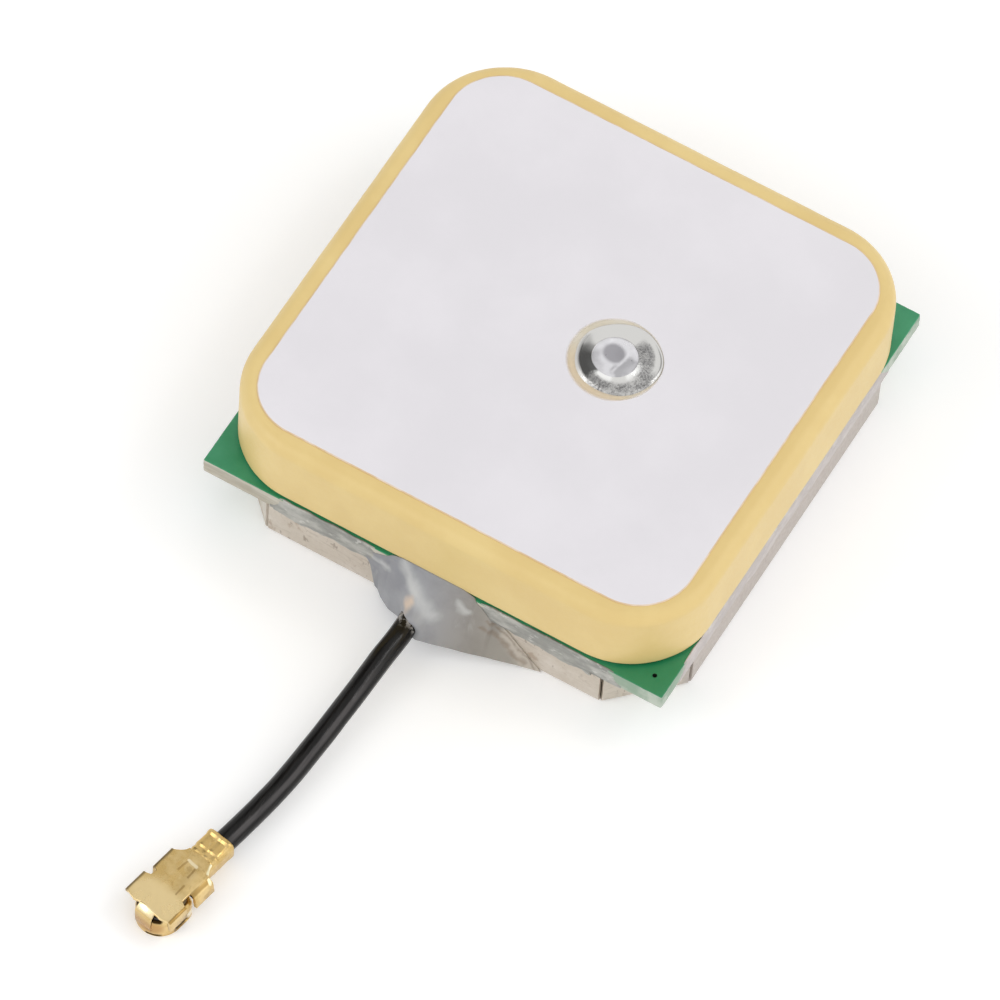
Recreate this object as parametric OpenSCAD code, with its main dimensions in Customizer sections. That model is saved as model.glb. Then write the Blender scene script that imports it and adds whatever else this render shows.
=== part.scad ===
// Active ceramic patch antenna module. A square ceramic patch sits on a small amplifier board,
// a folded shield can closes the board's underside, and a short coaxial lead ends in a push-on plug.
// Millimetres, +Z up. The origin is the middle of the can's flat bottom, and the lead leaves towards -Y.

/* [Ceramic block] */
// Side of the square block
ceramic_w = 25; // [24:0.5:30]
// Height of the block
ceramic_h = 4; // [3:0.1:6]
// Radius of the upright corners
ceramic_corner_r = 4.4; // [3:0.1:6]
// Fillet round the top edge
ceramic_fillet = 0.65; // [0.2:0.05:0.9]

/* [Electrodes] */
// Bare margin of ceramic round the top electrode
electrode_margin = 1; // [0.9:0.05:2]
// Corner radius of the top electrode
electrode_corner_r = 2.85; // [1:0.05:5]
// Bare margin of ceramic round the ground electrode
ground_margin = 0.2; // [0.1:0.05:1]
// Thickness of the fired silver layers
silver_t = 0.05; // [0.02:0.01:0.1]

/* [Feed pin] */
// Distance of the pin from the middle of the block
pin_x = 2.45; // [1.5:0.05:3]
// Radius of the shank
pin_r = 0.5; // [0.3:0.05:0.6]
// Radius of the head
pin_head_r = 1.1; // [0.8:0.05:1.4]
// Height of the head above the electrode
pin_head_h = 0.3; // [0.3:0.05:0.8]
// Length of the tail below the board
pin_tail = 0.6; // [0.4:0.05:1]
// Radius of the solder dome round the head
dome_r = 2.1; // [1.6:0.05:3]
// Height of the solder dome
dome_h = 0.2; // [0.1:0.05:0.3]
// Radius of the solder cone under the board
tail_solder_r = 1.1; // [0.8:0.05:1.3]

/* [Board] */
// Distance of the board's edges inside the block's sides
board_inset = 0.05; // [0:0.05:0.3]
// Thickness of the board
board_t = 1; // [0.6:0.1:1.6]
// Shift of the board towards the lead
board_shift = 0.15; // [0:0.05:0.3]
// Thickness of the adhesive sheet on the board
adhesive_t = 0.1; // [0.05:0.05:0.3]
// Radius of the ground via in the front right corner
via_r = 0.14; // [0.1:0.01:0.25]
// Distance of that via from both board edges
via_inset = 0.9; // [0.6:0.05:1.5]

/* [Shield can] */
// Height of the can, from its bottom to the board
can_h = 2.95; // [2.6:0.05:4]
// Distance of the can's walls from the board's edges
can_inset = 0.225; // [0.15:0.025:0.5]
// Length that each corner is cut back along both sides
can_corner = 3.1; // [2:0.1:5]
// Thickness of the tinned sheet
can_sheet = 0.2; // [0.15:0.01:0.25]
// Outside radius of the folds
can_fold_r = 0.3; // [0.26:0.01:0.4]
// Width of the slits between the folded walls
can_slit = 0.36; // [0.34:0.01:0.5]
// Width of the notch that lets the lead in
notch_w = 1.5; // [1.2:0.1:2]
// Distance of the solder seams from the ends of the walls
seam_margin = 0.45; // [0.2:0.05:3]
// Depth of the solder seams below the board
seam_h = 0.7; // [0.3:0.05:1.2]

/* [Lead] */
// Diameter of the coaxial jacket
lead_d = 1.13; // [0.9:0.01:1.2]
// Diameter over the braid
braid_d = 0.88; // [0.8:0.01:0.9]
// Diameter of the dielectric
dielectric_d = 0.68; // [0.5:0.01:0.75]
// Diameter of the inner conductor
core_d = 0.24; // [0.2:0.01:0.3]
// Height of the lead's axis below the board where it enters
lead_drop = 1.2; // [1:0.05:1.4]
// Length of stripped dielectric inside the can
bare_dielectric = 0.8; // [0.5:0.1:1.5]
// Reach of the glue bead left of the lead
glue_left = 3; // [2:0.1:5]
// Reach of the glue bead right of the lead
glue_right = 5.8; // [3:0.1:7]
// Thickness of the glue over the lead
glue_wall = 0.3; // [0.2:0.05:0.5]
// Depth of the glue in front of the board
glue_brow = 0.5; // [0.2:0.05:0.8]
// Length of jacket that the glue holds
glue_grip = 0.45; // [0.3:0.05:1]

/* [Plug] */
// Height of the plug's top plate
plug_h = 1.85; // [1.8:0.05:2.2]
// Thickness of the stamped sheet
plug_sheet = 0.17; // [0.14:0.01:0.2]
// Distance from the crimp's end to the mating axis
plug_reach = 4.2; // [4:0.1:5]
// Outside radius of the mating ring
ring_r = 1.2; // [1.15:0.01:1.22]
// Height of the mating ring
ring_h = 1.3; // [1.2:0.05:1.4]
// Half of the plug's width over its folded flaps
flap_v = 1.42; // [1.41:0.01:1.6]
// Radius of the contact's bore
contact_bore_r = 0.26; // [0.24:0.01:0.3]
// Wall of the contact
contact_wall = 0.14; // [0.1:0.01:0.16]
// Height of the crimp's axis
crimp_z = 1.05; // [1.02:0.01:1.1]
// Half of the crimp's width
crimp_v = 0.78; // [0.72:0.01:0.9]
// Length of each flat tab and flap at the plug's front
front_tab_l = 1.15; // [0.9:0.05:1.3]
// Drop of the folded flaps at the rear
rear_flap_drop = 0.95; // [0.7:0.05:1.2]
// Drop of the folded flap at the front
front_flap_drop = 0.8; // [0.6:0.05:1.2]

/* [Parts on the board] */
// Length of the small chip parts
chip_l = 1; // [0.8:0.1:1.2]
// Width and height of the small chip parts
chip_w = 0.5; // [0.4:0.05:0.6]
// Side of the square filter package
filter_w = 3; // [2:0.1:3.6]
// Height of the filter package without its lid
filter_h = 0.9; // [0.6:0.05:1.2]
// Length of the amplifier packages
amplifier_l = 2; // [1.6:0.1:2.4]
// Width of the amplifier packages
amplifier_w = 1.25; // [1:0.05:1.5]
// Height of the amplifier packages
amplifier_h = 0.9; // [0.7:0.05:1.1]

/* [Hidden] */
$fn = 64;

// Colours as seen
cream = [0.89, 0.81, 0.58];
silver = [0.88, 0.87, 0.89];
tin = [0.76, 0.72, 0.67];
solder = [0.72, 0.72, 0.72];
green = [0.13, 0.52, 0.33];
gold = [0.80, 0.67, 0.38];
black = [0.10, 0.10, 0.10];
paper = [0.85, 0.85, 0.80];
milky = [0.91, 0.90, 0.86];
copper = [0.78, 0.58, 0.40];
cloudy = [0.68, 0.69, 0.70, 0.8];
brown = [0.70, 0.55, 0.40];
slate = [0.35, 0.45, 0.55];
taupe = [0.50, 0.45, 0.40];

// Small gap that keeps loose curved fits apart
fit_gap = 0.01;
// Spare length of a cutting solid beyond the face it cuts
cut = 1;

// Levels of the stack, from the can's bottom upwards
board_z = can_h;
adhesive_z = board_z + board_t;
ground_z = adhesive_z + adhesive_t;
ceramic_z = ground_z + silver_t;
electrode_z = ceramic_z + ceramic_h;
top_z = electrode_z + silver_t;

// Room round the pin in its holes, and in the layers that it must not touch
pin_play = 0.1;
pin_keep_out = 1;
pin_hole_r = pin_r + pin_play;
pin_clear_r = pin_r + pin_keep_out;
// Length of the pin's tip below its solder
pin_bare_tip = 0.2;

// The board under the block, and the can's walls and cut corners as distances from the origin
board_w = ceramic_w - 2 * board_inset;
can_w = board_w - 2 * can_inset;
wall_d = can_w / 2;
corner_d = (can_w - can_corner) / sqrt(2);
wall_half = wall_d - can_corner - can_slit / 2;
corner_half = can_corner / sqrt(2) - can_slit / 2;
board_front = -board_w / 2 - board_shift;
// Length of a solder seam, and its height at the board's edge
seam_l = 2 * (wall_half - seam_margin);
seam_edge = 0.2 * seam_h;

// Route of the jacket's middle line: X, distance in front of the can, and the share of the drop
// from the notch to the plug that is still to come
lead_route = [
    [-0.3, 2.1, 1], [-0.3, 2.8, 1], [-0.4, 4.3, 0.95], [-0.5, 6.3, 0.8], [-0.6, 7.8, 0.65],
    [-0.75, 9.8, 0.45], [-0.95, 11.7, 0.2], [-1.2, 13.3, 0.05], [-1.5, 14.9, 0], [-1.8, 16.4, 0],
    [-1.95, 17.2, 0]
];
lead_z = can_h - lead_drop;
lead_points = [for (p = lead_route) [p.x, -wall_d - p.y, crimp_z + p.z * (lead_z - crimp_z)]];
lead_last = len(lead_points) - 1;
lead_x = lead_points[0].x;
lead_start = lead_points[0].y;

// The plug lies in line with the lead's last stretch
crimp_end = lead_points[lead_last - 1];
lead_end = lead_points[lead_last] - crimp_end;
plug_turn = atan2(lead_end.y, lead_end.x);
jacket_in = norm(lead_end);

// Stations of the stripped end inside the can, along +Y
bare_braid = 1;
braid_end = -wall_d + can_sheet + bare_braid;
dielectric_end = braid_end + bare_dielectric;
core_l = 0.9;
core_bend_r = 0.5;
core_solder_r = 0.6;
core_solder_h = 0.3;

// Stations along the plug, from its mating axis towards the front
crimp_l = 1.414;
crimp_band_l = 0.3;
shoulder_l = 2;
rear_flap_l = 1.25;
side_notch_l = 0.52;
crimp_u = -plug_reach;
jacket_u = crimp_u + jacket_in;
neck_u = crimp_u + crimp_l;
shoulder_u = crimp_u + shoulder_l;
notch_u = shoulder_u + rear_flap_l;
front_tab_u = notch_u + side_notch_l;
// Gap between the end of the braid's crimp and the neck of the plate
neck_gap = 0.1;
braid_u = neck_u - neck_gap;
dielectric_u = -0.8;

// The plate, its bends and the strap over the front, across the plug
plate_z = plug_h - plug_sheet;
flap_fold_r = 0.47;
plate_v = flap_v - flap_fold_r;
neck_v = 0.6;
tab_v = flap_v + 0.12;
strap_v = 0.65;
strap_fold_r = 0.36;
strap_foot = 0.5;
strap_u = ring_r + plug_sheet / 2 - strap_fold_r;

// Tail of the contact under the core
tail_z = crimp_z - core_d / 2;
tail_t = 0.08;
tail_w = 0.4;

// Places of the parts under the board: X, Y and turn
filter_place = [5.6, 6, 0];
first_amplifier_place = [7.6, 0, 90];
second_amplifier_place = [-1.6, 5.4, 0];
capacitor_places = [
    [4.6, 0, 0], [5.4, -3, 90], [8.6, 3.2, 0], [2.4, 6, 0], [-4.4, 6.2, 90], [-4.6, 2.6, 0],
    [-1.4, -5, 90]
];
resistor_places = [[7.6, -3, 90], [-1.6, 8, 0], [-5.6, -3.4, 90]];
inductor_places = [[5, 2.2, 90], [0.6, 8, 0], [-3.4, -5.6, 90]];
// Inductors are larger than the other chips by this factor
inductor_ratio = 1.6;

// Functions that sweep a round tube along points
function unit(v) = v / norm(v);
function heading(p, i) = unit(p[min(i + 1, len(p) - 1)] - p[max(i - 1, 0)]);
function across(t) = unit(cross(t, [1, 0, 0]));
function ring_of(p, i, r, sides) =
    let (t = heading(p, i), a = across(t), b = cross(t, a))
    [for (k = [0:sides - 1]) p[i] + r * (cos(360 * k / sides) * a + sin(360 * k / sides) * b)];

module tube(p, r, sides = 8) {
    last = len(p) - 1;
    points = [for (i = [0:last]) each ring_of(p, i, r, sides)];
    walls = [
        for (i = [0:last - 1], k = [0:sides - 1])
            let (a = i * sides + k, b = i * sides + (k + 1) % sides)
            [a, b, b + sides, a + sides]
    ];
    start_cap = [[for (k = [sides - 1:-1:0]) k]];
    end_cap = [[for (k = [0:sides - 1]) last * sides + k]];
    polyhedron(points, concat(walls, start_cap, end_cap));
}

// Shapes that several pieces share
module pie(r) {
    intersection() {
        circle(r);
        square(r);
    }
}

module rounded_square(w, r) {
    square([w, w - 2 * r], center = true);
    for (s = [-1, 1])
        translate([0, s * (w - r) / 2]) square([w - 2 * r, r], center = true);
    for (a = [0:90:270])
        rotate(a) translate([w / 2 - r, w / 2 - r]) pie(r);
}

// Section of a slab's rim, with its upper outer edge rounded
module rim_section(r, h, fillet) {
    square([r, h - fillet]);
    translate([0, h - fillet]) square([r - fillet, fillet]);
    translate([r - fillet, h - fillet]) pie(fillet);
}

module filleted_slab(w, h, r, fillet) {
    middle = w / 2 - r;
    translate([-middle, -middle, 0]) cube([2 * middle, 2 * middle, h]);
    for (a = [0:90:270]) rotate(a) {
        translate([middle, middle, 0]) rotate([90, 0, 0])
            linear_extrude(2 * middle) rim_section(r, h, fillet);
        translate([middle, middle, 0]) rotate_extrude(angle = 90) rim_section(r, h, fillet);
    }
}

// Turned mound of solder from an inner to an outer radius, highest at the inside
module solder_mound(inner, outer, h) {
    steps = 8;
    arc = [for (i = [0:steps]) let (a = 90 * i / steps)
        [inner + (outer - inner) * sin(a), h * cos(a)]];
    rotate_extrude() polygon(concat([[inner, 0]], arc));
}

module pin_place() {
    translate([pin_x, 0, 0]) children();
}

// Stands a part on the board's underside, with its own +Z pointing away from the board
module under_board(place) {
    translate([place.x, place.y, board_z]) rotate(place.z) mirror([0, 0, 1]) children();
}

// Puts children at the plug's mating axis, with X towards the plug's front
module plug_place() {
    translate([crimp_end.x, crimp_end.y, 0]) rotate(plug_turn) translate([plug_reach, 0, 0]) children();
}

// Lays a section along the plug's length, from one station to another
module along_plug(from, to) {
    translate([from, 0, crimp_z]) rotate([90, 0, 90]) linear_extrude(to - from) children();
}

// Antenna stack
module ceramic_block() {
    color(cream) difference() {
        translate([0, 0, ceramic_z]) filleted_slab(ceramic_w, ceramic_h, ceramic_corner_r, ceramic_fillet);
        pin_place() translate([0, 0, ceramic_z - cut]) cylinder(r = pin_hole_r, h = ceramic_h + 2 * cut);
    }
}

module silver_layer(w, r, hole_r) {
    linear_extrude(silver_t) difference() {
        rounded_square(w, r);
        pin_place() circle(hole_r);
    }
}

module top_electrode() {
    color(silver) translate([0, 0, electrode_z])
        silver_layer(ceramic_w - 2 * electrode_margin, electrode_corner_r, pin_hole_r);
}

module ground_electrode() {
    color(silver) translate([0, 0, ground_z])
        silver_layer(ceramic_w - 2 * ground_margin, ceramic_corner_r - ground_margin, pin_clear_r);
}

module adhesive_pad() {
    color(paper) translate([0, 0, adhesive_z]) linear_extrude(adhesive_t) difference() {
        rounded_square(ceramic_w - 4 * ground_margin, ceramic_corner_r - 2 * ground_margin);
        pin_place() circle(pin_clear_r);
    }
}

module feed_pin() {
    tail = top_z - board_z + pin_tail;
    edge = 0.1;
    tip = 0.15;
    profile = [
        [0, -tail], [pin_r - tip, -tail], [pin_r, tip - tail], [pin_r, 0], [pin_head_r, 0],
        [pin_head_r, pin_head_h - edge], [pin_head_r - edge, pin_head_h], [0, pin_head_h]
    ];
    color(solder) pin_place() translate([0, 0, top_z]) rotate_extrude() polygon(profile);
}

module feed_solder() {
    color(solder) pin_place() translate([0, 0, top_z]) solder_mound(pin_head_r, dome_r, dome_h);
}

module pin_solder() {
    color(solder) pin_place() translate([0, 0, board_z]) mirror([0, 0, 1])
        solder_mound(pin_r, tail_solder_r, pin_tail - pin_bare_tip);
}

// Board and shield
module circuit_board() {
    via = [board_w / 2 - via_inset, board_front + via_inset];
    color(green) translate([0, 0, board_z]) linear_extrude(board_t) difference() {
        translate([0, -board_shift]) square(board_w, center = true);
        pin_place() circle(pin_hole_r);
        translate(via) circle(via_r);
    }
}

// Section through a folded wall: a quarter bend, then the upright sheet
module wall_section() {
    inner_r = can_fold_r - can_sheet;
    translate([0, can_fold_r]) rotate(-90) difference() {
        pie(can_fold_r);
        circle(inner_r);
    }
    translate([inner_r, can_fold_r]) square([can_sheet, can_h - can_fold_r]);
}

module folded_wall(distance, half) {
    translate([distance - can_fold_r, half, 0]) rotate([90, 0, 0]) linear_extrude(2 * half) wall_section();
}

module lead_notch() {
    translate([lead_x, -wall_d, lead_z]) rotate([90, 0, 0]) {
        cylinder(d = notch_w, h = 4 * can_sheet, center = true);
        translate([-notch_w / 2, 0, -2 * can_sheet]) cube([notch_w, lead_drop + cut, 4 * can_sheet]);
    }
}

module shield_can() {
    color(tin) difference() {
        union() {
            linear_extrude(can_sheet) intersection() {
                square(2 * (wall_d - can_fold_r), center = true);
                rotate(45) square(2 * (corner_d - can_fold_r), center = true);
            }
            for (a = [0:90:270]) {
                rotate(a) folded_wall(wall_d, wall_half);
                rotate(a + 45) folded_wall(corner_d, corner_half);
            }
        }
        lead_notch();
    }
}

// Solder between a wall and the board's overhang
module seam(overhang) {
    translate([wall_d, seam_l / 2, board_z]) rotate([90, 0, 0]) linear_extrude(seam_l)
        polygon([[0, 0], [overhang, 0], [overhang, -seam_edge], [0, -seam_h]]);
}

module shield_solder() {
    color(solder) difference() {
        for (a = [0, 180]) rotate(a) seam(can_inset);
        lead_notch();
    }
    color(solder) difference() {
        rotate(-90) seam(can_inset + board_shift);
        lead_notch();
    }
}

// Parts on the underside of the board
module chip(l, w) {
    cap = l / 4;
    step = 0.02;
    for (s = [-1, 1])
        translate([s * (l - cap) / 2, 0, w / 2]) cube([cap, w, w], center = true);
    translate([0, 0, w / 2]) cube([l - 2 * cap, w - 2 * step, w - 2 * step], center = true);
}

module chips(places, l, w) {
    for (p = places) under_board(p) chip(l, w);
}

module capacitors() {
    color(brown) chips(capacitor_places, chip_l, chip_w);
}

module resistors() {
    color(black) chips(resistor_places, chip_l, chip_w);
}

module inductors() {
    color(slate) chips(inductor_places, inductor_ratio * chip_l, inductor_ratio * chip_w);
}

// Gull-wing lead of an amplifier package, seen from its end
module gull_wing(reach) {
    t = 0.12;
    mid = amplifier_h / 2;
    polygon([
        [0, mid], [reach / 2, mid], [reach / 2, t], [reach, t], [reach, 0], [reach / 2 - t, 0],
        [reach / 2 - t, mid - t], [0, mid - t]
    ]);
}

// Moulded body with drafted sides, on four leads
module amplifier(place) {
    lift = 0.08;
    draft = 0.08;
    lead_w = 0.3;
    lead_reach = 0.45;
    under_board(place) {
        intersection() {
            drafted_bar(amplifier_l, amplifier_w, lift, draft);
            rotate(90) drafted_bar(amplifier_w, amplifier_l, lift, draft);
        }
        for (a = [0, 180], s = [-1, 1])
            rotate(a) translate([s * (amplifier_l / 2 - lead_w) + lead_w / 2, amplifier_w / 2 - draft, 0])
                rotate([90, 0, -90]) mirror([1, 0, 0]) linear_extrude(lead_w) gull_wing(lead_reach);
    }
}

module drafted_bar(l, w, lift, draft) {
    rotate([90, 0, 0]) linear_extrude(w, center = true) polygon([
        [-l / 2 + draft, lift], [l / 2 - draft, lift], [l / 2, amplifier_h / 2],
        [l / 2 - draft, amplifier_h], [-l / 2 + draft, amplifier_h], [-l / 2, amplifier_h / 2]
    ]);
}

module first_amplifier() {
    color(black) amplifier(first_amplifier_place);
}

module second_amplifier() {
    color(black) amplifier(second_amplifier_place);
}

module saw_filter() {
    corner_r = 0.15;
    color(taupe) under_board(filter_place)
        linear_extrude(filter_h) rounded_square(filter_w, corner_r);
}

module filter_lid() {
    lid_t = 0.2;
    lid_margin = 0.2;
    corner_r = 0.3;
    color(gold) under_board(filter_place) translate([0, 0, filter_h])
        linear_extrude(lid_t) rounded_square(filter_w - 2 * lid_margin, corner_r);
}

// Lead
module coax_jacket() {
    color(black) tube(lead_points, lead_d / 2);
}

module along_lead(from, to, d) {
    translate([lead_x, to, lead_z]) rotate([90, 0, 0]) cylinder(d = d, h = to - from);
}

module coax_braid() {
    color(copper) {
        along_lead(lead_start, braid_end, braid_d);
        plug_place() along_plug(jacket_u, braid_u) circle(d = braid_d);
    }
}

module coax_dielectric() {
    color(milky) {
        along_lead(braid_end, dielectric_end, dielectric_d);
        plug_place() along_plug(braid_u, dielectric_u) circle(d = dielectric_d);
    }
}

// The bare core runs out of the stripped end and bends up to its pad under the board
module coax_core() {
    bend_end = dielectric_end + core_l;
    color(copper) {
        along_lead(dielectric_end, bend_end - core_bend_r, core_d);
        translate([lead_x, bend_end - core_bend_r, lead_z + core_bend_r]) rotate([0, 90, 0])
            rotate_extrude(angle = 90) translate([core_bend_r, 0]) circle(d = core_d);
        translate([lead_x, bend_end, lead_z + core_bend_r])
            cylinder(d = core_d, h = lead_drop - core_bend_r);
        plug_place() along_plug(dielectric_u, 0) circle(d = core_d);
    }
}

module core_solder() {
    color(solder) translate([lead_x, dielectric_end + core_l, board_z]) mirror([0, 0, 1])
        solder_mound(core_d / 2, core_solder_r, core_solder_h);
}

// Solder saddle from the braid up to the ground pad under the board
module braid_solder() {
    top_half = braid_d;
    low_half = 0.6 * braid_d;
    color(solder) translate([lead_x, braid_end, lead_z]) rotate([90, 0, 0])
        linear_extrude(bare_braid) difference() {
            polygon([[-top_half, lead_drop], [top_half, lead_drop], [low_half, 0], [-low_half, 0]]);
            circle(d = braid_d);
        }
}

// Glue that holds the lead at the notch. Its front, side and top outlines are crossed: it spreads
// down the can's front, laps the seam and the board's edge, and narrows to a collar round the lead.
module glue_bead() {
    foot = 0.1;
    left_rise = 0.4;
    right_rise = 0.6;
    bulge = 0.4;
    lap = 0.15;
    collar_r = lead_d / 2 + glue_wall;
    tip = lead_start - glue_grip;
    tip_half = 0.6 * collar_r;
    deep = 2 * wall_d;
    left = lead_x - glue_left;
    right = lead_x + glue_right;
    front_outline = [
        [left, foot + left_rise], [left - bulge, can_h - seam_h], [left - bulge, board_z],
        [lead_x - glue_left / 2, ground_z], [lead_x + glue_right / 2, ground_z],
        [right - 2 * collar_r, board_z], [right, foot + right_rise], [right, foot]
    ];
    side_outline = [
        [-wall_d, foot], [-wall_d, board_z - seam_h], [board_front, board_z - seam_edge],
        [board_front, ground_z], [board_front - lap, ground_z], [board_front - glue_brow, board_z],
        [tip, lead_z + collar_r], [tip, lead_z - collar_r]
    ];
    top_outline = [
        [left - bulge, -wall_d], [left - bulge, board_front], [lead_x - 2 * tip_half, tip + tip_half],
        [lead_x - tip_half, tip], [lead_x + tip_half, tip], [right, board_front], [right, -wall_d]
    ];
    color(cloudy) difference() {
        intersection() {
            rotate([90, 0, 0]) linear_extrude(deep) polygon(front_outline);
            translate([-deep, 0, 0]) rotate([90, 0, 90]) linear_extrude(2 * deep) polygon(side_outline);
            linear_extrude(top_z) polygon(top_outline);
        }
        along_lead(lead_start - 2 * lead_d, lead_start, lead_d + 2 * fit_gap);
        along_lead(lead_start, 0, braid_d);
    }
}

// Plug. The shell is one stamped and folded sheet.
module fold_section(drop, fold_r) {
    translate([0, -fold_r]) difference() {
        pie(fold_r);
        circle(fold_r - plug_sheet);
    }
    translate([fold_r - plug_sheet, -drop]) square([plug_sheet, drop - fold_r]);
}

// Flap on one side of the plate, folded down over a stretch of the plug's length
module side_flap(from, to, drop) {
    translate([from, plate_v, plug_h]) rotate([90, 0, 90])
        linear_extrude(to - from) fold_section(drop, flap_fold_r);
}

// Strap that folds over the front and carries the mating ring
module front_strap() {
    translate([strap_u, strap_v, plug_h]) rotate([90, 0, 0])
        linear_extrude(2 * strap_v) fold_section(plug_h - strap_foot, strap_fold_r);
}

// Ring that grips the mating socket, with a slot for the dielectric
module mating_ring() {
    slot_gap = 0.06;
    slot_v = dielectric_d / 2 + slot_gap;
    difference() {
        cylinder(r = ring_r, h = ring_h);
        translate([0, 0, -cut]) cylinder(r = ring_r - plug_sheet, h = ring_h + 2 * cut);
        translate([-2 * ring_r, -slot_v, crimp_z - slot_v]) cube([2 * ring_r, 2 * slot_v, ring_h]);
    }
}

// Flat top of the shell with its raised panel and the tab that sticks out at one side
module top_plate() {
    panel_gap = 0.1;
    panel_l = 1.5;
    panel_w = 0.7;
    panel_t = 0.04;
    tab_end = front_tab_u + front_tab_l;
    translate([0, 0, plate_z]) linear_extrude(plug_sheet) polygon([
        [neck_u, neck_v], [shoulder_u, plate_v], [tab_end, plate_v], [strap_u, strap_v],
        [strap_u, -strap_v], [tab_end, -plate_v], [shoulder_u, -plate_v], [neck_u, -neck_v]
    ]);
    translate([shoulder_u + panel_gap, -panel_w / 2, plug_h]) cube([panel_l, panel_w, panel_t]);
    translate([front_tab_u, -tab_v, plate_z]) cube([front_tab_l, tab_v - plate_v, plug_sheet]);
}

// Bevelled box section of the crimp
module crimp_section(half_v, half_w) {
    bevel = 0.28;
    flat_v = half_v - bevel;
    flat_w = half_w - bevel;
    polygon([
        [half_v, flat_w], [flat_v, half_w], [-flat_v, half_w], [-half_v, flat_w],
        [-half_v, -flat_w], [-flat_v, -half_w], [flat_v, -half_w], [half_v, -flat_w]
    ]);
}

// Crimp pressed round the lead, waisted between two bands
module crimp() {
    crown = 0.08;
    waist = 0.07;
    crimp_w = plug_h - crimp_z - crown;
    crimp_front = neck_u + crimp_band_l;
    difference() {
        union() {
            along_plug(crimp_u, crimp_u + crimp_band_l) crimp_section(crimp_v, crimp_w);
            along_plug(crimp_u, crimp_front) crimp_section(crimp_v - waist, crimp_w - waist);
            along_plug(braid_u, crimp_front) crimp_section(crimp_v - waist / 2, crimp_w);
        }
        along_plug(crimp_u - cut, jacket_u) circle(lead_d / 2 + fit_gap);
        along_plug(crimp_u - cut, crimp_front + cut) circle(braid_d / 2 + fit_gap);
    }
}

module plug_shell() {
    color(gold) plug_place() {
        mating_ring();
        top_plate();
        front_strap();
        side_flap(shoulder_u, notch_u, rear_flap_drop);
        mirror([0, 1, 0]) side_flap(shoulder_u, notch_u, rear_flap_drop);
        side_flap(front_tab_u, front_tab_u + front_tab_l, front_flap_drop);
        crimp();
    }
}

// Moulded disc inside the ring, stepped in at its top to clear the shell's bends
module plug_insulator() {
    r = ring_r - plug_sheet - fit_gap;
    foot = 0.55;
    step_z = plug_h - strap_fold_r;
    slot_v = core_d / 2 + 2 * fit_gap;
    color(milky) plug_place() difference() {
        union() {
            translate([0, 0, foot]) cylinder(r = r, h = step_z - foot);
            translate([0, 0, foot]) cylinder(r = strap_u - fit_gap, h = plate_z - foot);
        }
        translate([0, 0, foot - cut]) cylinder(r = contact_bore_r + contact_wall, h = tail_z - foot + cut);
        translate([-2 * r, -tail_w / 2, tail_z - tail_t]) cube([2 * r, tail_w, tail_t]);
        translate([-2 * r, -slot_v, tail_z]) cube([2 * r + slot_v, 2 * slot_v, core_d + 2 * fit_gap]);
        along_plug(-2 * r, dielectric_u) circle(d = dielectric_d);
    }
}

// Socket for the mating pin, with a slit, a closed top and a tail under the core
module plug_contact() {
    mouth = 0.2;
    slit = 0.12;
    r = contact_bore_r + contact_wall;
    bore_top = tail_z - tail_t;
    color(gold) plug_place() difference() {
        union() {
            translate([0, 0, mouth]) cylinder(r = r, h = tail_z - mouth);
            translate([dielectric_u, -tail_w / 2, bore_top]) cube([-dielectric_u, tail_w, tail_t]);
        }
        translate([0, 0, mouth - cut]) cylinder(r = contact_bore_r, h = bore_top - mouth + cut);
        translate([0, -slit / 2, mouth - cut]) cube([2 * r, slit, bore_top - mouth + cut]);
    }
}

ceramic_block();
top_electrode();
ground_electrode();
feed_pin();
feed_solder();
pin_solder();
adhesive_pad();
circuit_board();
shield_can();
shield_solder();
saw_filter();
filter_lid();
first_amplifier();
second_amplifier();
capacitors();
resistors();
inductors();
coax_jacket();
coax_braid();
coax_dielectric();
coax_core();
braid_solder();
core_solder();
glue_bead();
plug_shell();
plug_insulator();
plug_contact();
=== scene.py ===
import math
import bmesh
import bpy
from mathutils import Matrix, Vector, noise


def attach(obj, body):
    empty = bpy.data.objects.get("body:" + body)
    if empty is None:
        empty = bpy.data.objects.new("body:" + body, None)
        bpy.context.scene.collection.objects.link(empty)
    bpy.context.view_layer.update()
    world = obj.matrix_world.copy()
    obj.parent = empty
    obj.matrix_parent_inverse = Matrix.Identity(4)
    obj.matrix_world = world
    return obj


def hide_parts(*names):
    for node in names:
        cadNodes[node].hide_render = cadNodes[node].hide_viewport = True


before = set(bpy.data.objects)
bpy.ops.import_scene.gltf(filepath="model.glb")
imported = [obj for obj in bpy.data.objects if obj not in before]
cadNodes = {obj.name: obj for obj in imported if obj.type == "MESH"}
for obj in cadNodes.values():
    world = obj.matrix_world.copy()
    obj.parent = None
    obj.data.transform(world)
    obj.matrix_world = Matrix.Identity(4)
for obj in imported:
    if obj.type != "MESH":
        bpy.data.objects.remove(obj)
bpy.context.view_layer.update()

mm = 0.001
fullTurn = 2 * math.pi
quarterTurn = math.pi / 2

# places that several pieces and finishes share
pinSpot = (2.45, 0.0)
domeSpot = (2.606, 0.09)
plugAxis = (-2.574, -32.753)
plugHeading = (-0.18429, -0.98287)


# mesh helpers, all in millimetres until the mesh is made

def roundSquare(half, radius, perCorner=28, perSide=40):
    points = []
    corner = half - radius
    for quarter in range(4):
        turn = Matrix.Rotation(quarterTurn * quarter, 2)
        for i in range(perCorner + 1):
            a = quarterTurn * i / perCorner
            points.append(turn @ Vector((corner + radius * math.cos(a), corner + radius * math.sin(a))))
        for i in range(1, perSide):
            points.append(turn @ Vector((corner - 2 * corner * i / perSide, half)))
    return points


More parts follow.
